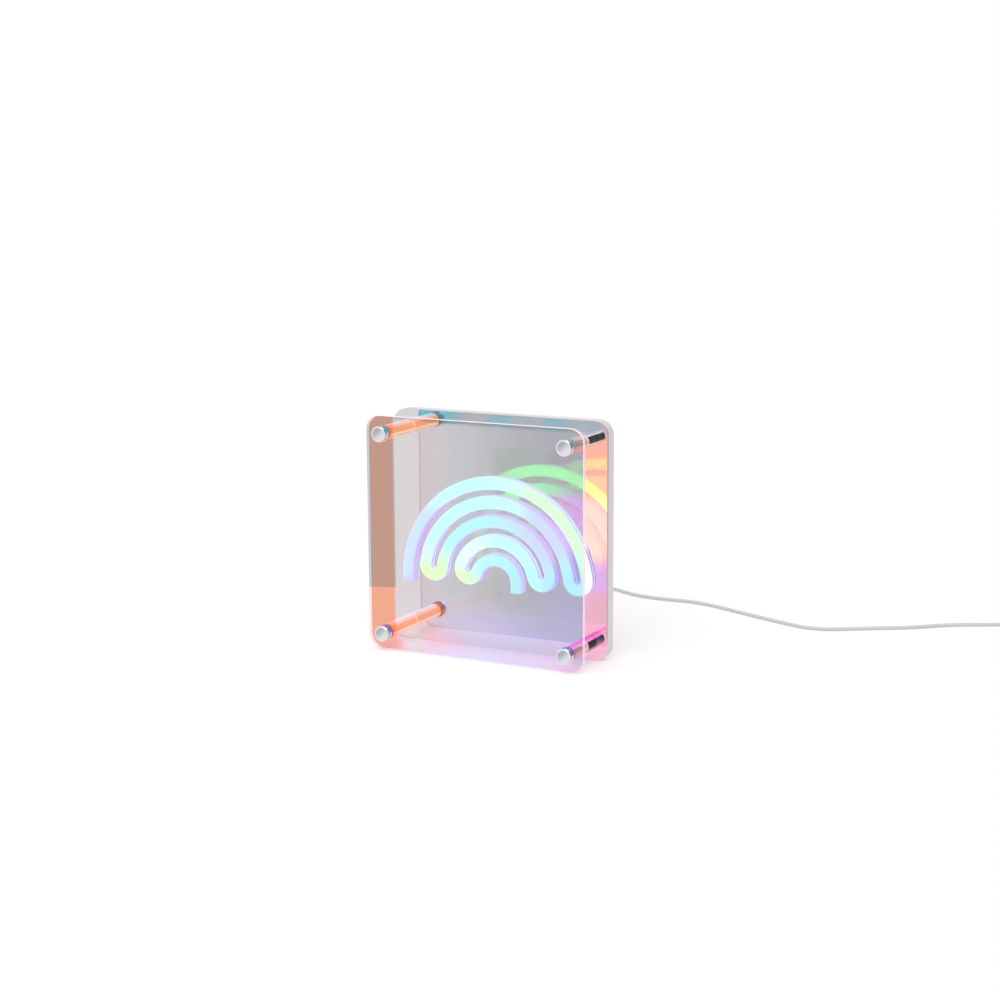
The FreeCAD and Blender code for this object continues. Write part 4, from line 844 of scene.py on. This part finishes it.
class LAMP_OT_standoffs(Operator):
    """Dress the four stand-offs and their fasteners"""

    bl_idname = "rainbow_lamp.standoffs"
    bl_label = "Stand-offs"

    def execute(self, context):
        settings = context.scene.lamp_shell
        dress(self.cap("cap_upper", settings, settings.teal), "standoff_cap_ul", "standoff_cap_ur")
        dress(self.cap("cap_lower", settings, settings.violet), "standoff_cap_ll", "standoff_cap_lr")
        dress(self.left_barrel(settings), "standoff_barrel_ul", "standoff_barrel_ll")
        chrome = self.right_barrel(
            "barrel_chrome", settings, near_top=settings.pewter, near_from=PEWTER_FROM,
            far_top=settings.chrome, far_low=settings.chrome)
        magenta = self.right_barrel(
            "barrel_magenta", settings, near_top=settings.magenta, near_from=MAGENTA_FROM,
            far_top=settings.magenta, far_low=settings.mauve)
        dress(chrome, "standoff_barrel_ur")
        dress(magenta, "standoff_barrel_lr")
        dress(metal("fastener_steel", settings.steel, roughness=0.25),
              "standoff_studs", "rear_screws", "rear_washers")
        dress(moulded("washer_soft", settings.washer, roughness=0.6, grain=800.0, depth=0.0001),
              "panel_washers")
        return {"FINISHED"}

    def polish(self, finish, roughness):
        """Roughness of polished metal with faint marks."""
        marks = finish.both(finish.noise(POLISH_SCALE, POLISH_DETAIL), POLISH_ROUGHNESS)
        return finish.calc("ADD", marks, roughness)

    def cap(self, name, settings, ring):
        """Chrome cap with painted shade in its dish and groove, and painted reflections of the film's colours
        above glowing on its two rear rings and back.
        """
        finish = Finish(name)
        _, y, _ = finish.axes()
        facing_x, facing_y, facing_z = finish.facing()
        in_dish = finish.both(finish.rise(facing_y, *FRONT_TURN), finish.calc("GREATER_THAN", y, DISH_START))
        # Painted shade: the dish darkens on one side, chosen by the way it faces, and the groove is painted
        # dark.
        slope = finish.calc("SUBTRACT", facing_x, facing_z)
        dish = finish.mix(finish.rise(slope, *DISH_SLOPE), settings.dish, settings.dish_shade)
        face = finish.mix(in_dish, settings.chrome, dish)
        in_groove = finish.both(finish.rise(y, *GROOVE_Y), finish.rise(facing_y, *GROOVE_TURN))
        face = finish.mix(in_groove, face, settings.groove)
        # Painted reflections of the film's colours on the rear rings and pink on the back, glowing as
        # emission, with a painted dark line between the rings.
        on_side = finish.rise(finish.calc("ABSOLUTE", facing_y), *SIDE_TURN)
        on_back = finish.rise(facing_y, *BACK_TURN)
        off_line = finish.calc("ABSOLUTE", finish.calc("SUBTRACT", y, RING_LINE))
        painted_ring_light = finish.mix(finish.rise(facing_z, *RING_UPPER_TURN), settings.chrome, ring)
        painted_ring_light = finish.mix(finish.rise(off_line, *RING_LINE_WIDTH), painted_ring_light, settings.groove)
        painted_ring_light = finish.mix(on_back, painted_ring_light, settings.rose_reflection)
        lit = finish.either(finish.both(on_side, finish.rise(y, *RING_Y)), on_back)
        satin = finish.both(finish.either(lit, in_dish), CAP_SATIN)
        return finish.wear(finish.principled(
            base_color=finish.mix(lit, face, painted_ring_light), metallic=finish.rest(satin),
            emission_color=painted_ring_light, emission_strength=finish.both(lit, CAP_GLOW),
            roughness=self.polish(finish, finish.both(in_dish, DISH_ROUGHNESS))))

    def left_barrel(self, settings):
        """Chrome barrel with painted reflections and glow of the film's warm light in bands along it."""
        finish = Finish("barrel_coral")
        _, y, _ = finish.axes()
        _, _, facing_z = finish.facing()
        # Painted reflections in bands chosen by the way the surface faces, a painted highlight on top and a
        # pale painted line at the joint, all glowing as emission.
        tint = settings.rose_reflection
        for band, shade in ((CREAM_TURN, settings.cream_reflection), (ORANGE_TURN, settings.orange_reflection),
                            (ROSE_TURN, settings.rose_reflection), (ICE_TURN, settings.ice_highlight)):
            tint = finish.mix(finish.rise(facing_z, *band), tint, shade)
        tint = finish.mix(finish.rise(y, *JOINT_Y), tint, settings.cream_reflection)
        return finish.wear(finish.principled(
            base_color=tint, metallic=LEFT_METALLIC, emission_color=tint, emission_strength=LEFT_GLOW,
            roughness=self.polish(finish, LEFT_ROUGHNESS)))

    def right_barrel(self, name, settings, near_top, near_from, far_top, far_low):
        """Chrome barrel with painted reflections, pale and glowing with the film's light near it, and with a
        painted dark band beyond.
        """
        finish = Finish(name)
        _, y, _ = finish.axes()
        _, _, facing_z = finish.facing()
        # Painted reflections: a pale glowing part near the film, and a painted dark band beyond.
        near = finish.rise(y, *NEAR_FILM_Y)
        on_near_top = finish.rise(facing_z, near_from, near_from + NEAR_TOP_FADE)
        pale = finish.mix(on_near_top, settings.dusk, near_top)
        tint = finish.mix(finish.rise(facing_z, *JET_TURN), far_low, settings.dark_reflection)
        tint = finish.mix(finish.rise(facing_z, *FAR_TOP_TURN), tint, far_top)
        return finish.wear(finish.principled(
            base_color=finish.mix(near, tint, pale), metallic=finish.rest(finish.both(near, NEAR_SATIN)),
            emission_color=pale, emission_strength=finish.both(near, NEAR_GLOW),
            roughness=self.polish(finish, RIGHT_ROUGHNESS)))


class LAMP_OT_housing(Operator):
    """Dress the tray, its cover and what is inside"""

    bl_idname = "rainbow_lamp.housing"
    bl_label = "Housing"

    def execute(self, context):
        settings = context.scene.lamp_shell
        dress(moulded("tray_white", settings.white, roughness=0.42, grain=900.0, depth=0.0001),
              "rear_housing", "back_cover")
        dress(metal("cover_steel", settings.steel, roughness=0.25), "cover_screws", "board_screws")
        dress(moulded("board_green", settings.board, roughness=0.4, grain=700.0, depth=0.0001),
              "driver_board")
        dress(moulded("part_black", settings.black, roughness=0.4, grain=900.0, depth=0.0001),
              "board_components", "switch_body")
        dress(moulded("knob_grey", settings.knob, roughness=0.35, grain=900.0, depth=0.0001), "switch_knob")
        dress(moulded("wire_red", settings.wire, roughness=0.4, grain=900.0, depth=0.00005),
              "lead_wires", "supply_wires")
        return {"FINISHED"}


TABLE_HALF = 8.0
TABLE_Z = -0.0002
TABLE_LIFT = 0.27
WALL_HALF = 3.0
WALL_HEIGHT = 3.0
WALL_LEAN = 0.25
WALL_GLOW = 1.0
BEHIND_FILM = 0.5
CLOTH_X = 0.45
CLOTH_Y = (0.45, 1.4)
CLOTH_HEIGHT = 1.3
SKY_LIGHT = 0.63
SKY_SHOWN = 1.0
KEY_SPREAD = math.radians(50)
KEY_TURN = (math.radians(38), math.radians(-12), math.radians(25))
CLEAR_LAYERS = 32


def flat_sheet(context, name, corners, material):
    """Plane of the stage through four corners."""
    mesh = bpy.data.meshes.new(name)
    mesh.from_pydata(corners, [], [(0, 1, 2, 3)])
    sheet = bpy.data.objects.new(name, mesh)
    context.scene.collection.objects.link(sheet)
    mesh.materials.append(material)
    return sheet


def upright(start, end, height):
    """Corners of an upright sheet between two places on the table."""
    return [(*start, 0.0), (*end, 0.0), (*end, height), (*start, height)]


def show_only_in(sheet, camera=False, glossy=False):
    """Let only the camera or only glossy faces see a part of the stage."""
    sheet.visible_camera = camera
    sheet.visible_glossy = glossy
    sheet.visible_diffuse = False
    sheet.visible_transmission = False
    sheet.visible_volume_scatter = False
    sheet.visible_shadow = False


class LAMP_OT_stage(Operator):
    """Set the table, the studio light and the camera"""

    bl_idname = "rainbow_lamp.stage"
    bl_label = "Stage"

    def execute(self, context):
        settings = context.scene.lamp_stage
        context.scene.view_settings.view_transform = "Standard"
        context.scene.cycles.transparent_max_bounces = CLEAR_LAYERS
        self.table(context, settings)
        self.wall(context, settings)
        self.cloth(context, settings)
        self.studio(context, settings)
        self.camera(context, settings)
        return {"FINISHED"}

    def table(self, context, settings):
        """Pale table top that keeps the lamp's shadow."""
        finish = Finish("table_white")
        matt = finish.made("ShaderNodeBsdfDiffuse", {"Color": settings.table})
        lift = finish.made("ShaderNodeEmission",
                           {"Color": WHITE, "Strength": finish.both(finish.seen(), TABLE_LIFT)})
        corners = [(x * TABLE_HALF, y * TABLE_HALF, TABLE_Z) for x, y in ((-1, -1), (1, -1), (1, 1), (-1, 1))]
        flat_sheet(context, "table_top", corners,
                   finish.wear(finish.made("ShaderNodeAddShader", {0: matt, 1: lift})))

    def wall(self, context, settings):
        """Studio wall that shows only through the film."""
        finish = Finish("studio_wall")
        layers = finish.add("ShaderNodeLightPath").outputs["Transparent Depth"]
        paint = finish.made("ShaderNodeEmission", {"Color": settings.wall, "Strength": WALL_GLOW})
        nothing = finish.made("ShaderNodeBsdfTransparent")
        paint_or_nothing = finish.blend(finish.calc("GREATER_THAN", layers, BEHIND_FILM), nothing, paint)
        lean = WALL_LEAN * WALL_HALF
        left = (-WALL_HALF, settings.wall_distance - lean)
        right = (WALL_HALF, settings.wall_distance + lean)
        sheet = flat_sheet(context, "studio_wall", upright(left, right, WALL_HEIGHT),
                           finish.wear(paint_or_nothing))
        show_only_in(sheet, camera=True)

    def cloth(self, context, settings):
        """Dark cloth at the back right, which only glossy faces see."""
        finish = Finish("dark_cloth")
        weave = finish.made("ShaderNodeBsdfDiffuse", {"Color": settings.flag})
        near, far = CLOTH_Y
        sheet = flat_sheet(context, "side_cloth", upright((CLOTH_X, near), (CLOTH_X, far), CLOTH_HEIGHT),
                           finish.wear(weave))
        show_only_in(sheet, glossy=True)

    def studio(self, context, settings):
        """White surroundings and one soft key light."""
        world = bpy.data.worlds.new("studio")
        context.scene.world = world
        world.use_nodes = True
        nodes = Nodes(world.node_tree)
        strength = nodes.made("ShaderNodeMapRange",
                              {0: nodes.seen(), "To Min": SKY_LIGHT, "To Max": SKY_SHOWN})
        sky = nodes.made("ShaderNodeBackground", {"Color": WHITE, "Strength": strength})
        nodes.add("ShaderNodeOutputWorld", {"Surface": sky})
        key = bpy.data.lights.new("key_light", "SUN")
        key.energy = settings.key_strength
        key.angle = KEY_SPREAD
        lamp = bpy.data.objects.new("key_light", key)
        context.scene.collection.objects.link(lamp)
        lamp.rotation_euler = KEY_TURN

    def camera(self, context, settings):
        """Camera at the photograph's place."""
        data = bpy.data.cameras.new("camera")
        data.lens = settings.camera_lens
        camera = bpy.data.objects.new("camera", data)
        context.scene.collection.objects.link(camera)
        camera.location = settings.camera_place
        camera.rotation_euler = settings.camera_turn
        context.scene.camera = camera


class LAMP_PT_sidebar(Panel):
    """Lists the lamp's operators and settings"""

    bl_idname = "LAMP_PT_sidebar"
    bl_label = "Rainbow Lamp"
    bl_space_type = "VIEW_3D"
    bl_region_type = "UI"
    bl_category = "Rainbow Lamp"

    def draw(self, context):
        for operator, group in STEPS:
            column = self.layout.column()
            column.operator(operator.bl_idname)
            settings = getattr(context.scene, group)
            for setting in settings.__annotations__:
                column.prop(settings, setting)


GROUPS = {
    "lamp_cord": CordSettings,
    "lamp_panel": PanelSettings,
    "lamp_mirror": MirrorSettings,
    "lamp_tube": TubeSettings,
    "lamp_shell": ShellSettings,
    "lamp_stage": StageSettings,
}
STEPS = (
    (LAMP_OT_stage, "lamp_stage"),
    (LAMP_OT_cord, "lamp_cord"),
    (LAMP_OT_housing, "lamp_shell"),
    (LAMP_OT_standoffs, "lamp_shell"),
    (LAMP_OT_mirror, "lamp_mirror"),
    (LAMP_OT_tube, "lamp_tube"),
    (LAMP_OT_panel, "lamp_panel"),
)
CLASSES = (*GROUPS.values(), *(operator for operator, _ in STEPS), LAMP_PT_sidebar)


def register():
    """Add the classes and their settings to Blender."""
    for entry in CLASSES:
        bpy.utils.register_class(entry)
    for name, group in GROUPS.items():
        setattr(bpy.types.Scene, name, PointerProperty(type=group))


def unregister():
    """Take the settings and the classes out of Blender again."""
    for name in GROUPS:
        delattr(bpy.types.Scene, name)
    for entry in reversed(CLASSES):
        bpy.utils.unregister_class(entry)


def main():
    """Dress and light the lamp."""
    register()
    bpy.ops.rainbow_lamp.stage()
    bpy.ops.rainbow_lamp.cord()
    bpy.ops.rainbow_lamp.housing()
    bpy.ops.rainbow_lamp.standoffs()
    bpy.ops.rainbow_lamp.mirror()
    bpy.ops.rainbow_lamp.tube()
    bpy.ops.rainbow_lamp.panel()


if __name__ == "__main__":
    main()
